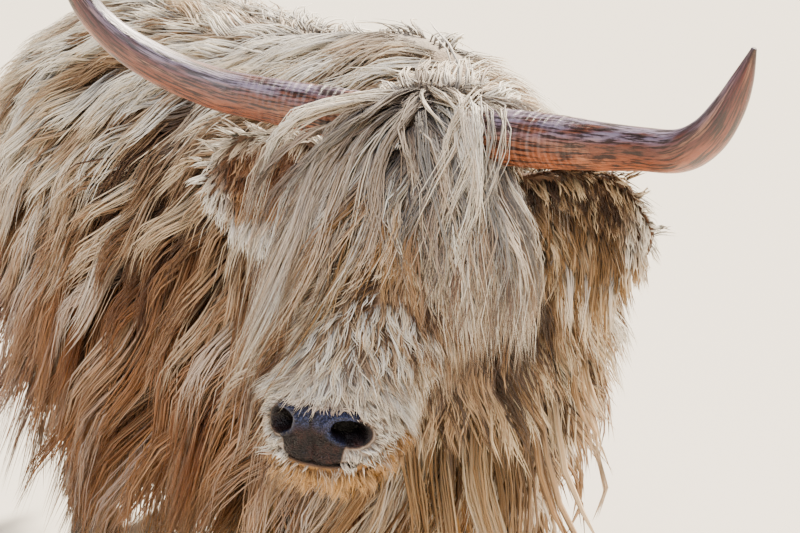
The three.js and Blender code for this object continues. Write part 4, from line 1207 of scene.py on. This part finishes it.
def march(
    on, roots, way, length, layer, steps, droop=0.3, lead=0.5, sway=0.3, rise=0.5, wave=0.22,
    stray=0.2,
):
    """Guide hairs. Each follows the lie of the coat, keeps its layer off the skin, and droops."""
    count = len(roots)
    here = copy.copy(roots)

    def lie(out):
        """The way of the coat where it lies now, without most of what points into the skin."""
        straight = unit(way(here))
        return unit(straight - out * np.minimum((straight * out).sum(1), 0)[:, None] * 0.9)

    heading = unit(lie(roots.out) + roots.out * rise)
    points, outs = [roots.place], [roots.out]
    # neighbours wave together, so the coat falls in locks
    swing = (waves(roots.place, wave, 21) * 1.6 + draw.normal(size=count) * stray) * math.pi
    bend = sway * draw.uniform(0.7, 1.2, count)
    for k in range(1, steps + 1):
        s = k / steps
        step = (length / steps)[:, None]
        place = points[-1] + heading * step
        _, out, height = on.nearest(place)
        least = layer * min(1.0, LIFT_AT_ROOT + LIFT_RATE * s)
        place = place + out * np.maximum(least - height, 0)[:, None]
        moved = unit(place - points[-1])
        points.append(points[-1] + moved * step)
        outs.append(unit(out + 0.5 * outs[-1]))
        here.place, here.out = points[-1], out
        side = unit(np.cross(moved, out))
        curve = (bend * np.sin(swing + s * SWINGS))[:, None] * side
        fall = DOWN * droop * s - out * np.minimum(-out[:, 2] * droop * s, 0)[:, None] * 0.8
        heading = unit(moved + lie(out) * lead + fall + curve)
    return np.stack(points, 1), np.stack(outs, 1)


ROOT_SUNK = 0.002  # metres that a hair starts under the skin


def read_path(paths, share):
    """Points at shares of the way along paths, straight on past the end."""
    last = paths.shape[1] - 1
    place = share * last
    i = np.clip(place.astype(int), 0, last - 1)
    f = (place - i)[..., None]
    row = np.arange(len(paths))[:, None]
    return paths[row, i] * (1 - f) + paths[row, i + 1] * f


def follow(
    guides, outs, guide_roots, roots, rings, clump=(0.35, 0.95), shorten=(0.7, 1.05), fluff=0.006,
    curl=0.004, turns=1.2, ease=1.1,
):
    """Hairs round the guides: each starts at its own root and closes on its guide to the tip."""
    tree = KDTree(len(guide_roots))
    for i, p in enumerate(guide_roots.place.tolist()):
        tree.insert(p, i)
    tree.balance()
    own = np.array([tree.find(p)[1] for p in roots.place.tolist()])
    count = len(roots)
    scale = draw.uniform(*shorten, count)[:, None]
    s = np.linspace(0, 1, rings + 1)[None, :] ** ease
    path = read_path(guides[own], s * scale)
    facing = unit(read_path(outs[own], s * scale))
    offset = (roots.place - guide_roots.place[own])[:, None, :]
    close = draw.uniform(*clump, count)[:, None]
    path = path + offset * (1 - close * s**0.8)[..., None]
    lift = (draw.normal(size=count) * fluff)[:, None] * s**0.7
    path = path + facing * lift[..., None]
    ahead = unit(np.gradient(path, axis=1))
    side = unit(np.cross(ahead, facing))
    turn = draw.uniform(0, TAU, count)[:, None]
    turn = turn + s * turns * TAU * draw.uniform(0.6, 1.3, (count, 1))
    size = (curl * draw.uniform(0.3, 1.4, count))[:, None] * s
    path = path + side * (np.sin(turn) * size)[..., None]
    path = path + facing * (np.cos(turn) * size * 0.5)[..., None]
    path[:, 0] = roots.place - roots.out * ROOT_SUNK
    return path, facing, own


def tuft_faces(rings):
    """Triangles of one closed tuft of three-sided rings and a tip."""
    faces = [(0, 1, 2)]
    for i in range(rings - 1):
        for j in range(3):
            p, q = 3 * i + j, 3 * i + (j + 1) % 3
            faces += [(p, p + 3, q), (q, p + 3, q + 3)]
    last, tip = 3 * (rings - 1), 3 * rings
    faces += [(last + j, tip, last + (j + 1) % 3) for j in range(3)]
    return np.array(faces)


WIDTH_ALONG = np.array([[0.5], [0.95], [1.0], [0.85], [0.6], [0.1]])
FLAT = 0.28  # thickness of a tuft for its width
MOST_TRIANGLES = 190000  # in one piece
LOWEST = 0.001  # metres over the floor
BAKE_PATCH = 0.003  # side of a tuft's own square on the unwrap


def tufts(name, path, facing, width, tint, marks, uv, material, slot):
    """Solid tapered tufts along paths, as one or more pieces."""
    count, stations, _ = path.shape
    rings = stations - 1
    ahead = unit(np.gradient(path, axis=1))
    side = unit(np.cross(ahead, facing))
    up = np.cross(side, ahead)
    s = np.linspace(0, 1, stations)
    wide = (along(WIDTH_ALONG, s)[None, :rings, 0] * width[:, None])[..., None]
    core = path[:, :rings]
    ring = np.stack(
        [
            core + side[:, :rings] * wide / 2 - up[:, :rings] * wide * FLAT * 0.3,
            core + up[:, :rings] * wide * FLAT * 0.7,
            core - side[:, :rings] * wide / 2 - up[:, :rings] * wide * FLAT * 0.3,
        ],
        2,
    )
    points = np.concatenate([ring.reshape(count, -1, 3), path[:, -1:]], 1)
    points[..., 2] = np.maximum(points[..., 2], LOWEST)
    each = 3 * rings + 1
    faces = tuft_faces(rings)
    across = np.tile([0.0, 0.5, 1.0], rings).tolist() + [0.5]
    down = np.repeat(s[:rings], 3).tolist() + [1.0]
    local = np.stack([across, down], 1)
    per_piece = MOST_TRIANGLES // len(faces)
    pieces = max(1, math.ceil(count / per_piece))
    for k, rows in enumerate(np.array_split(np.arange(count), pieces)):
        n = len(rows)
        index = (faces[None] + (np.arange(n) * each)[:, None, None]).reshape(-1, 3)
        mesh = bpy.data.meshes.new(name)
        mesh.vertices.add(n * each)
        mesh.vertices.foreach_set("co", points[rows].astype(np.float32).ravel())
        mesh.loops.add(index.size)
        mesh.loops.foreach_set("vertex_index", index.astype(np.int32).ravel())
        mesh.polygons.add(len(index))
        mesh.polygons.foreach_set("loop_start", (np.arange(len(index)) * 3).astype(np.int32))
        mesh.update(calc_edges=True)
        paint(mesh, "tint", np.repeat(tint[rows], each))
        paint(mesh, "marks", np.repeat(marks[rows], each, axis=0))
        loop = index.ravel()
        # every tuft reads another strip of the pattern
        shifted = local[None] + np.stack([tint[rows] * 977 % 40, np.zeros(n)], 1)[:, None]
        strand = mesh.uv_layers.new(name="Strand")
        strand.data.foreach_set("uv", shifted.reshape(-1, 2)[loop].astype(np.float32).ravel())
        baked = mesh.uv_layers.new(name="OFBake")
        patch = uv[rows][:, None] + (local[None] - 0.5) * BAKE_PATCH
        baked.data.foreach_set("uv", patch.reshape(-1, 2)[loop].astype(np.float32).ravel())
        piece = bpy.data.objects.new(f"{name}_{k + 1}" if pieces > 1 else name, mesh)
        bpy.context.scene.collection.objects.link(piece)
        finished(piece, material, slot)


def tints(roots, own, depth, middle=0.58, lock=0.28, hair=0.09, scale=0.16):
    """How pale each hair is: by lock, lower locks darker as undercoat and painted shade, and hair
    by hair.
    """
    by_lock = (np.random.default_rng(3).normal(size=len(depth)) * lock + 0.6 * (depth - 0.6))[own]
    wide = waves(roots.place, scale, 9) * 0.1
    return np.clip(middle + by_lock + wide + draw.normal(size=len(own)) * hair, 0, 1)


def at_each(rule, roots):
    """What a rule gives for every root, or one number for all of them."""
    return rule(roots) if callable(rule) else np.full(len(roots), rule)


def coat(
    name, on, loft, patch, guides, hairs, way, length, layer, width, span=(0.0, 1.0), weight=None,
    buried=0.02, where=None, steps=7, rings=5, flow=None, locks=None, tint=None, tone=0.0,
    slim=1.0, marks=None, material=COAT_FINISH, slot="coat",
):
    """A coat over one part of the body: guide hairs first, then the hairs that follow them.

    Patch is its strip on the unwrap: left, low, wide and high. Flow is how the guides run, and
    locks is how the hairs keep to them.
    """
    lead = Roots(on, loft, *scatter(loft, guides, span, weight), patch, buried)
    roots = Roots(on, loft, *scatter(loft, hairs, span, weight), patch, buried)
    if where:
        lead.only(where(lead))
        roots.only(where(roots))
    lengths = at_each(length, lead) * draw.uniform(0.8, 1.15, len(lead))
    depth = draw.uniform(0.2, 1.0, len(lead))
    layers = at_each(layer, lead) * depth
    paths, outs = march(on, lead, way, lengths, layers, steps, **(flow or {}))
    path, facing, own = follow(paths, outs, lead, roots, rings, **(locks or {}))
    pale = tints(roots, own, depth, **(tint or {})) + at_each(tone, roots)
    widths = width * (0.55 + 0.95 * draw.random(len(roots)) ** 1.6) * at_each(slim, roots)
    shares = markings(roots.place)
    if marks:
        shares = marks(roots, shares)
    tufts(name, path, facing, widths, np.clip(pale, 0, 1), shares, roots.uv, material, slot)


# ------------------------------------------------------------------ the coat of trunk and neck
def trunk_way(roots):
    """Out and down from the parting along the spine, and back, more so the higher up."""
    out = roots.out
    side = np.clip(out[:, 0] / 0.15, -1, 1)
    drift = 0.3 * waves(roots.place, 0.3, 31)
    back = (0.42 + 0.4 * out[:, 2]) * smooth(-1.0, -0.35, out[:, 1]) + drift
    spread = side * (0.3 + 0.5 * np.clip(out[:, 2], 0, 1)) * smooth(1.02, 0.82, out[:, 2])
    return np.stack([spread, back, -np.ones(len(out))], 1)


def by_tail(roots):
    """1 where the rump lies under the tail."""
    across = np.abs(drawn(roots.place)[:, 0])
    return smooth(120, 55, across) * smooth(0.2, 0.6, roots.out[:, 1])


def trunk_length(roots):
    """Longest along the lower flank and belly, shorter on back, rump and left shoulder."""
    x, y, _ = drawn(roots.place).T
    out = roots.out[:, 2]
    whole = 0.2 + 0.17 * smooth(0.15, -0.4, out) - 0.07 * smooth(0.3, 0.95, out)
    whole *= (1 - 0.4 * smooth(0.4, 0.9, roots.out[:, 1])) * (1 - 0.6 * by_tail(roots))
    return whole * (1 - 0.5 * smooth(-300, -480, y) * smooth(-60, 60, x))


def trunk_layer(roots):
    out = roots.out
    whole = 0.06 - 0.034 * smooth(0.2, 0.9, out[:, 2]) - 0.02 * smooth(0.2, 0.8, out[:, 0])
    return whole * (1 - 0.5 * smooth(0.4, 0.9, out[:, 1])) * (1 - 0.7 * by_tail(roots))


# centres of painted shade: under the chin, and behind her right ear, where ear and horn shade the
# neck
UNDER_CHIN = on_face((70, -290, -190))
BEHIND_EAR = placed((-245, -160, 850))


def sunlit(roots):
    """Paler along back and breast, in painted sunlight; painted shade at throat, under chin,
    behind ear.
    """
    x, y, z = drawn(roots.place).T
    throat = smooth(620, 760, z) * smooth(-360, -500, y) * smooth(160, -40, x)
    shaded = smooth(0.36, 0.15, np.linalg.norm(roots.place - UNDER_CHIN, axis=1))
    shaded = np.maximum(shaded, 0.9 * smooth(700, 650, z) * smooth(-540, -580, y))
    ear_shadow = smooth(0.26, 0.1, np.linalg.norm(roots.place - BEHIND_EAR, axis=1))
    pale = 0.26 * smooth(830, 1010, z) + 0.12 * smooth(-400, -540, y)
    return pale - 0.3 * throat - 0.4 * shaded - 0.36 * ear_shadow


def trunk_side(sign):
    """Keeps the hairs of one half of the trunk; sign is 1 for her left."""
    return lambda roots: roots.out[:, 0] * sign > 0


FLANK = {
    "on": ground, "steps": 8, "flow": {"droop": 0.3, "sway": 0.5, "rise": 0.4},
    "locks": {"clump": (0.1, 0.8), "fluff": 0.007, "curl": 0.0035, "turns": 0.7}, "tone": sunlit,
    "buried": 0.07,
}
TRUNK_COAT = {
    **FLANK, "loft": trunk, "patch": (0.02, 0.02, 0.3, 0.46), "way": trunk_way,
    "length": trunk_length, "layer": trunk_layer,
}
coat(
    "coat_right_side", guides=1500, hairs=33000, width=0.0036, where=trunk_side(-1), **TRUNK_COAT,
)
coat(
    "coat_left_side", guides=1200, hairs=9500, width=0.0085, where=trunk_side(1),
    slim=lambda roots: 1 - 0.5 * smooth(0.2, 0.85, roots.out[:, 2]),
    weight=lambda t, angle: 1 + 1.2 * smooth(0.5, 1, np.sin(angle)), **TRUNK_COAT,
)


def neck_way(roots):
    """Down from the crest, and a little back towards the shoulder."""
    _, right, up, _ = neck.frame(roots.t)
    ahead = np.cross(right, up)
    drift = 0.25 * waves(roots.place, 0.25, 33)[:, None] * np.array([1.0, 0.6, 0.0])
    crest = smooth(0.6, 0.95, roots.out[:, 2])[:, None]
    by_ear = (smooth(0.3, 0.8, roots.t) * smooth(0.1, -0.4, roots.out[:, 0]))[:, None]
    back = ahead * (0.25 + 0.5 * crest + 0.6 * by_ear)
    return DOWN + roots.out * [0.35, 0.35, 0.1] - back + drift * (1 - 0.8 * crest)


def neck_length(roots):
    """Shorter towards the head, and on her left side and throat."""
    far = smooth(-0.3, 0.5, roots.out[:, 0])
    return (0.19 - 0.09 * smooth(0.4, 1.0, roots.t)) * (1 - 0.42 * far)


def neck_tone(roots):
    """As the trunk beside it, and darker under the throat in painted shade."""
    x, _, z = roots.out.T
    return sunlit(roots) - 0.06 * smooth(0.2, -0.5, z) * smooth(0.8, 0.2, x)


def neck_layer(roots):
    thin = 0.022 * smooth(0.4, 0.95, roots.t)
    return 0.04 - thin - 0.014 * smooth(0.2, 0.8, roots.out[:, 2])


NECK_COAT = {**FLANK, "rings": 4, "steps": 6, "tone": neck_tone}
coat(
    "coat_neck", loft=neck, patch=(0.34, 0.02, 0.2, 0.3), guides=1500, hairs=10200, way=neck_way,
    length=neck_length, layer=neck_layer, width=0.0032, **NECK_COAT,
)


# ------------------------------------------------------------------ legs and tail
def leg_way(roots):
    """Down the leg, a little out and back."""
    return DOWN + roots.out * [0.15, 0.15, 0] + np.array([0.0, 0.12, 0.0])


LEG_COATS = {
    "upper": {
        "guides": 220, "hairs": 720,
        "length": lambda roots: 0.1 + 0.06 * smooth(0.2, 0.9, roots.out[:, 1]), "layer": 0.02,
        "width": 0.009, "rings": 4,
    },
    "lower": {
        "guides": 200, "hairs": 640,
        "length": lambda roots: 0.042 + 0.03 * smooth(0.3, 0.9, roots.out[:, 1]), "layer": 0.007,
        "width": 0.006, "rings": 3,
    },
}
for number, ((leg, part, side), loft) in enumerate(legs.items()):
    coat(
        f"coat_{leg}_{side}_{part}", ground, loft, (0.56 + 0.05 * (number % 8), 0.02, 0.045, 0.25),
        way=leg_way, steps=5, flow={"droop": 0.5, "rise": 0.35}, locks={"curl": 0.002},
        **LEG_COATS[part],
    )


TAIL_TONE = -0.16  # darker than the rump behind it
coat(
    "coat_tail", ground, tail, (0.56, 0.3, 0.05, 0.2), guides=160, hairs=1100,
    way=lambda roots: DOWN + np.array([0.0, 0.25, 0.0]) * roots.out[:, 1:2], length=0.15,
    layer=0.034, width=0.006, rings=4, steps=5, tone=TAIL_TONE,
)
coat(
    "tail_switch_hair", ground, switch, (0.62, 0.3, 0.05, 0.2), guides=70, hairs=900,
    way=lambda roots: DOWN + roots.out * 0.35, length=lambda roots: 0.22 + 0.1 * roots.t,
    layer=0.02, width=0.0055, rings=6, buried=0.04,
    locks={"clump": (0.2, 0.8), "curl": 0.012, "turns": 1.6}, tone=TAIL_TONE,
)


# ------------------------------------------------------------------ face
def face_way(roots):
    """Down the face, out over the cheeks, and fanned over the muzzle to both sides."""
    x, s, _ = face_of(roots)
    out = roots.out @ FACE
    fan = np.clip(x / 60, -1, 1) * (0.3 + 1.3 * smooth(290, 370, s))
    swirl = 0.6 * np.sin(s / 45 + x / 60) * smooth(150, 230, s) * smooth(330, 270, s)
    local = np.stack([fan + swirl, -np.ones(len(s)), np.zeros(len(s))], 1)
    low = smooth(0.3, -0.6, out[:, 2])[:, None]
    return (local @ FACE.T) * (1 - 0.5 * low) + DOWN * (0.3 + low)


def face_length(roots):
    """Longer on the jowls and the bridge of the nose, short on the lips and beside the nose."""
    _, s, z = face_of(roots)
    near_pad = smooth(355, 395, s) * smooth(0, -40, z)
    off, reach = lip_place(face_place(roots.place))
    lip = reach * bump_at(off, 6, 9)
    jowl = 0.035 * smooth(-90, -150, z) * smooth(320, 250, s) * smooth(40, 130, s)
    bridge = 0.022 * smooth(220, 290, s) * smooth(380, 345, s) * smooth(-90, -50, z)
    whole = jowl + bridge + 0.038 - 0.02 * near_pad - 0.02 * smooth(350, 390, s) * (1 - near_pad)
    return whole * (1 - 0.5 * lip)


def face_layer(roots):
    return 0.016 - 0.010 * smooth(240, 340, face_of(roots)[1])


def face_tone(roots):
    """Darker over the cheeks, in painted shade under the jaw, and paler on the muzzle."""
    x, s, z = face_of(roots)
    cheek = np.maximum(smooth(-60, -110, z), smooth(15, 65, np.abs(x)))
    cheek = 0.14 * cheek * smooth(350, 230, s) * smooth(60, 170, s)
    under = smooth(-95, -135, z) * smooth(380, 340, s)
    return 0.14 * smooth(300, 350, s) - cheek - 0.25 * under


def off_nose_and_eyes(roots):
    """Leaves the bare nose, the eyes and the line of the mouth free of hair."""
    place = face_place(roots.place)
    eyes = np.minimum(*(lid_place(place, side)[0] for side in SIDES.values()))
    off, reach = lip_place(place)
    off_lips = (np.abs(off) > 2.5) | (reach < 0.5) | (np.abs(place[:, 0]) > 44)
    return (bare_share(place) < 0.4) & (eyes > 1.35) & off_lips


def under_forelock(t, angle):
    """Fewer hairs on the crown, where the forelock hides them."""
    return 1 - 0.6 * smooth(0.34, 0.24, t) * smooth(-0.1, 0.4, np.sin(angle))


FACE_COAT = {
    "on": ground, "loft": skull, "patch": (0.34, 0.36, 0.2, 0.3), "way": face_way,
    "where": off_nose_and_eyes, "material": FACE_HAIR_FINISH, "slot": "face",
}
coat(
    "face_hair", guides=1500, hairs=11500, length=face_length, layer=face_layer, width=0.0018,
    weight=under_forelock, rings=3, steps=4,
    flow={"droop": 0.2, "rise": 0.12, "sway": 0.45, "wave": 0.09},
    locks={"clump": (0.1, 0.75), "fluff": 0.002, "curl": 0.0025, "turns": 0.8}, tone=face_tone,
    tint={"middle": 0.54, "lock": 0.26, "hair": 0.17}, **FACE_COAT,
)


def muzzle_length(roots):
    """Long over the bridge, short beside the bare nose and on the lips, longer on the chin."""
    _, s, z = face_of(roots)
    off, reach = lip_place(face_place(roots.place))
    top = smooth(-70, -45, z) * smooth(368, 340, s)
    beside = smooth(350, 386, s) * smooth(4, 10, off)
    whole = 0.034 + 0.014 * top - 0.017 * beside
    return whole * (1 - 0.55 * reach * bump_at(off, 5, 7))


def muzzle_tone(roots):
    """White above the nose, and painted shade under the chin."""
    return 0.14 - 0.4 * smooth(-100, -140, face_of(roots)[2])


coat(
    "muzzle_hair", guides=900, hairs=6000, length=muzzle_length, layer=0.008, width=0.0013,
    rings=4, steps=6, span=(0.42, 0.97),
    flow={"droop": 0.2, "rise": 0.15, "sway": 0.8, "wave": 0.06},
    locks={"clump": (0.1, 0.8), "fluff": 0.0015, "curl": 0.002, "turns": 0.8}, tone=muzzle_tone,
    tint={"middle": 0.58, "lock": 0.32, "hair": 0.2, "scale": 0.06}, **FACE_COAT,
)


class Crown:
    """The patch of skull that the forelock grows from. t runs down the face, and angle across."""

    def __init__(self, reach, s_span):
        self.reach, self.s_span = reach, s_span

    def at(self, t, angle):
        s = self.s_span[0] + (self.s_span[1] - self.s_span[0]) * t
        x = (angle / TAU * 2 - 1) * self.reach
        return on_face(np.stack([x, -s, np.full_like(x, 4.0) - (x / self.reach) ** 2 * 26], 1))


crown = Crown(88, (-60, 118))


def forelock_way(roots):
    """Parted at the crown, fanned over brows and horn roots, then hanging beside the face."""
    x, s, _ = face_of(roots)
    x = x + 16
    # the hair of her right side lies further out, over the root of the horn
    reach = np.where(x < 0, 150.0, 104.0)
    inner = smooth(reach, reach * 0.55, np.abs(x))
    fan = np.where(x < 0, 1.8, 1.5) * np.tanh(x / 26) * smooth(100, -30, s) * inner
    fan += (0.22 * x / 80 + 0.2 * waves(roots.place, 0.1, 41)) * inner
    local = np.stack([fan, -np.ones(len(s)), np.zeros(len(s))], 1)
    hang = DOWN * (1.2 - 0.95 * inner[:, None])
    return (local @ FACE.T) * (0.35 + 0.65 * inner[:, None]) + hang


def before_horns(roots):
    """Leaves out the hairs that would fall behind a horn."""
    x, s, _ = face_of(roots)
    return (np.abs(x) < 48) | (s > -8)


def forelock_length(roots):
    """Longest on her right, and shorter for the locks that start low on the brow."""
    x, s, _ = face_of(roots)
    return 0.25 + 0.13 * smooth(5, -45, x) + 0.02 * smooth(25, 60, x) - 0.08 * smooth(-10, 110, s)


def forelock_marks(roots, marks):
    """Blond, with more gold in some locks."""
    marks = marks.copy()
    marks[:, 1] = 0.5 * smooth(-0.5, 0.6, waves(roots.place, 0.07, 43))
    marks[:, 0] = 0.3 * smooth(0.0, 0.6, waves(roots.place, 0.045, 47))
    return marks


FORELOCK_LOCKS = {"clump": (0.1, 0.9), "shorten": (0.5, 1.05), "fluff": 0.005, "curl": 0.007}
coat(
    "forelock", ground_with_horns, crown, (0.56, 0.52, 0.2, 0.2), guides=360, hairs=6900,
    way=forelock_way, length=forelock_length, layer=0.036, width=0.002, rings=6, steps=15,
    buried=0.06, where=before_horns,
    flow={"droop": 0.1, "lead": 0.8, "rise": 0.3, "sway": 0.38, "wave": 0.11},
    locks={**FORELOCK_LOCKS, "turns": 1.3, "ease": 1.35}, marks=forelock_marks,
    material=FORELOCK_FINISH, slot="face",
    tone=lambda roots: 0.2 * smooth(0, -50, face_of(roots)[0]),
    tint={"middle": 0.41, "lock": 0.55, "hair": 0.34},
)


class Dome:
    """The back of the skull, behind the horns. t runs from its middle out, and angle round it."""

    centre = on_face((0, 20, -80))
    radius = 0.085
    reach = math.radians(85)

    def at(self, t, angle):
        off = t * self.reach
        ring = np.sin(off)
        ways = np.stack([ring * np.cos(angle), np.cos(off), ring * np.sin(angle)], 1)
        return self.centre + self.radius * ways @ FACE.T


coat(
    "poll_hair", ground_with_horns, Dome(), (0.8, 0.3, 0.08, 0.15), guides=130, hairs=1100,
    way=lambda roots: np.array([0.5, 0.8, -0.4]) + 0.3 * roots.out, length=0.12, layer=0.022,
    width=0.0028, rings=4, steps=6, buried=0.06,
    flow={"droop": 0.2, "rise": 0.3, "sway": 0.3, "wave": 0.1},
    locks={"clump": (0.1, 0.8), "fluff": 0.004}, slot="face", tone=0.22,
)


# ------------------------------------------------------------------ ears
def ear_turn(roots):
    """Place across an ear, -1 at its lower rim to 1 at its upper, and whether in its cup."""
    inside = roots.angle >= math.pi
    return np.sin(np.where(inside, TAU - roots.angle, roots.angle) - math.pi / 2), inside


def ear_way(side):
    """Out along the leaf, towards its nearer rim, and down."""
    leaf = ears[side]
    out = leaf.out @ LEVEL.T
    rim = leaf.across @ LEVEL.T

    def way(roots):
        turn, _ = ear_turn(roots)
        edge = smooth(0.8, 1.0, np.abs(turn))[:, None]
        return out * 0.35 + turn[:, None] * rim * (0.3 + edge) + DOWN * 0.6

    return way


def on_left_ear(roots):
    return roots.place[:, 0] > placed(POLL)[0]


def ear_length(roots):
    """Longest along the lower rim, above all on the left ear."""
    turn, _ = ear_turn(roots)
    low = smooth(0.1, -0.8, turn)
    whole = 0.03 + 0.008 * smooth(0.6, 1.0, np.abs(turn)) * smooth(1.0, 0.85, roots.t)
    left = on_left_ear(roots)
    return whole + np.where(left, 0.07, 0.02) * low * smooth(1.0, 0.7, roots.t)


def ear_rim(roots):
    """1 on an ear's pale rim, round its leaf and at its tip. The left one lies in painted shade
    above.
    """
    turn, _ = ear_turn(roots)
    left = on_left_ear(roots)
    # the pale rim is partly pale hair and partly painted rim light; painted horn shadow darkens
    # the left ear's top
    low, high = np.where(left, 0.6, 0.55), np.where(left, 1.0, 0.85)
    upper = np.where(left, 0, 0.8)
    round_leaf = smooth(low, high, np.where(turn > 0, upper * turn, -turn))
    return round_leaf, smooth(np.where(left, 0.7, 0.8), 0.98, roots.t)


def ear_marks(roots, marks):
    """Rust in the cup, white along the rim, partly painted rim light, and gold below."""
    turn, inside = ear_turn(roots)
    round_leaf, at_tip = ear_rim(roots)
    rim = np.clip(round_leaf + at_tip, 0, 1)
    marks = marks.copy()
    left = on_left_ear(roots)
    marks[:, 0] = np.where(inside & ~left, 0.36, 0.08) * (1 - rim)
    marks[:, 1] = 0.45 * smooth(0.4, -0.9, turn) * (1 - np.where(left, 0.2, 0.8) * rim)
    marks[:, 2] = rim * np.where(left, 0.7 * smooth(-0.6, 0.2, turn), 0.95)
    return marks


def ear_tone(roots):
    """Pale along the rim, with painted rim light, and dark within it, partly painted shade."""
    turn, _ = ear_turn(roots)
    round_leaf, at_tip = ear_rim(roots)
    left = on_left_ear(roots)
    inner = (1 - round_leaf) * (1 - at_tip)
    below = left * smooth(0.1, -0.6, turn)
    return (0.3 - 0.2 * below) * (1 - inner) - np.where(left, 0.34, 0.52) * inner


for side in SIDES:
    coat(
        f"ear_{side}_hair", ground_of_ears, ears[side],
        (0.8 if side == "left" else 0.9, 0.52, 0.08, 0.2), guides=420, hairs=2500,
        way=ear_way(side), length=ear_length, layer=0.008, width=0.0024,
        weight=lambda t, angle: np.where(angle > math.pi, 1.5, 0.6), span=(0.02, 1.0), rings=3,
        steps=5, flow={"droop": 0.5, "rise": 0.4, "sway": 0.3, "wave": 0.06},
        locks={"clump": (0.1, 0.7), "fluff": 0.003, "curl": 0.003}, marks=ear_marks, tone=ear_tone,
        material=FORELOCK_FINISH if side == "left" else FACE_HAIR_FINISH, slot="face",
    )


# ------------------------------------------------------------------ floor, light and camera
FLOOR_FLAT = 24.0  # metres from her to where it starts to rise
FLOOR_EDGE = 150.0  # metres from her to its edge
FLOOR_RISE = 10.0  # metres that its edge stands up
FLOOR_RINGS = 12
FLOOR_SIDES = 96


def floor():
    """Flat for far around her, then sweeping up, so its edge doesn't show from 6 degrees up."""
    points = []
    for r in np.linspace(FLOOR_FLAT, FLOOR_EDGE, FLOOR_RINGS):
        height = FLOOR_RISE * ((r - FLOOR_FLAT) / (FLOOR_EDGE - FLOOR_FLAT)) ** 2
        angles = np.arange(FLOOR_SIDES) * TAU / FLOOR_SIDES
        points += [(r * math.cos(a), r * math.sin(a), height) for a in angles]
    faces = [tuple(range(FLOOR_SIDES))]
    for ring in range(FLOOR_RINGS - 1):
        inner, outer = ring * FLOOR_SIDES, (ring + 1) * FLOOR_SIDES
        for j in range(FLOOR_SIDES):
            k = (j + 1) % FLOOR_SIDES
            faces.append((inner + j, outer + j, outer + k, inner + k))
    made = mesh_object("floor", points, faces)
    for face in list(made.data.polygons)[1:]:
        face.use_smooth = True
    finish, _, shader = finish_of("matt_floor_paint", 0.9, 0.2)
    shader.inputs["Base Color"].default_value = linear("#dedad2")
    made.data.materials.append(finish)


def aimed(name, data, at, ahead):
    """A lamp or camera at a point, looking along ahead with its top upward."""
    made = bpy.data.objects.new(name, data)
    made.location = at
    made.rotation_mode = "QUATERNION"
    made.rotation_quaternion = Vector(ahead).to_track_quat("-Z", "Y")
    bpy.context.scene.collection.objects.link(made)
    return made


def lamp(name, kind, at, towards, size, power, hex_colour):
    """A lamp. The size of a sun is in degrees and that of a round panel in metres."""
    data = bpy.data.lights.new(name, kind)
    if kind == "SUN":
        data.angle = math.radians(size)
    else:
        data.shape = "DISK"
        data.size = size
    data.energy = power
    data.color = linear(hex_colour)[:3]
    aimed(name, data, at, Vector(towards) - Vector(at))


WORLD_STRENGTH = 0.12


def surroundings():
    """The pale light of the room, weak enough to leave shade between the locks."""
    world = bpy.data.worlds.new("pale_room")
    world.use_nodes = True
    back = world.node_tree.nodes["Background"]
    back.inputs["Color"].default_value = linear("#e6ebf4")
    back.inputs["Strength"].default_value = WORLD_STRENGTH
    bpy.context.scene.world = world


CAMERA_AZIMUTH = 30  # degrees to her right of straight ahead
CAMERA_FALL = 12.5  # degrees below level that it looks
CROWN_DEPTH = 2.5  # metres from the camera to the crown
CROWN_PIXEL = (425, 112)
IMAGE = (800, 533)
FOCAL_PIXELS = 2083


def camera():
    """A camera set so that the crown falls on its pixel of the image."""
    a, e = math.radians(CAMERA_AZIMUTH), math.radians(CAMERA_FALL)
    ahead = np.array([math.sin(a) * math.cos(e), math.cos(a) * math.cos(e), -math.sin(e)])
    right = np.array([math.cos(a), -math.sin(a), 0])
    up = np.cross(right, ahead)
    across = (CROWN_PIXEL[0] - IMAGE[0] / 2) / FOCAL_PIXELS
    above = (IMAGE[1] / 2 - CROWN_PIXEL[1]) / FOCAL_PIXELS
    eye = placed(POLL) - CROWN_DEPTH * (ahead + across * right + above * up)
    data = bpy.data.cameras.new("camera")
    data.sensor_width = 36
    data.lens = FOCAL_PIXELS / IMAGE[0] * data.sensor_width
    data.clip_end = 200
    bpy.context.scene.camera = aimed("camera", data, eye, ahead)


floor()
MIDDLE = (0, -0.4, 0.8)
lamp("key", "SUN", (3.6, 1.6, 4.3), MIDDLE, 8, 22.0, "#fff0da")
lamp("fill", "AREA", (-2.4, -3.4, 4.4), MIDDLE, 1.8, 245, "#f3f5ff")
surroundings()
camera()
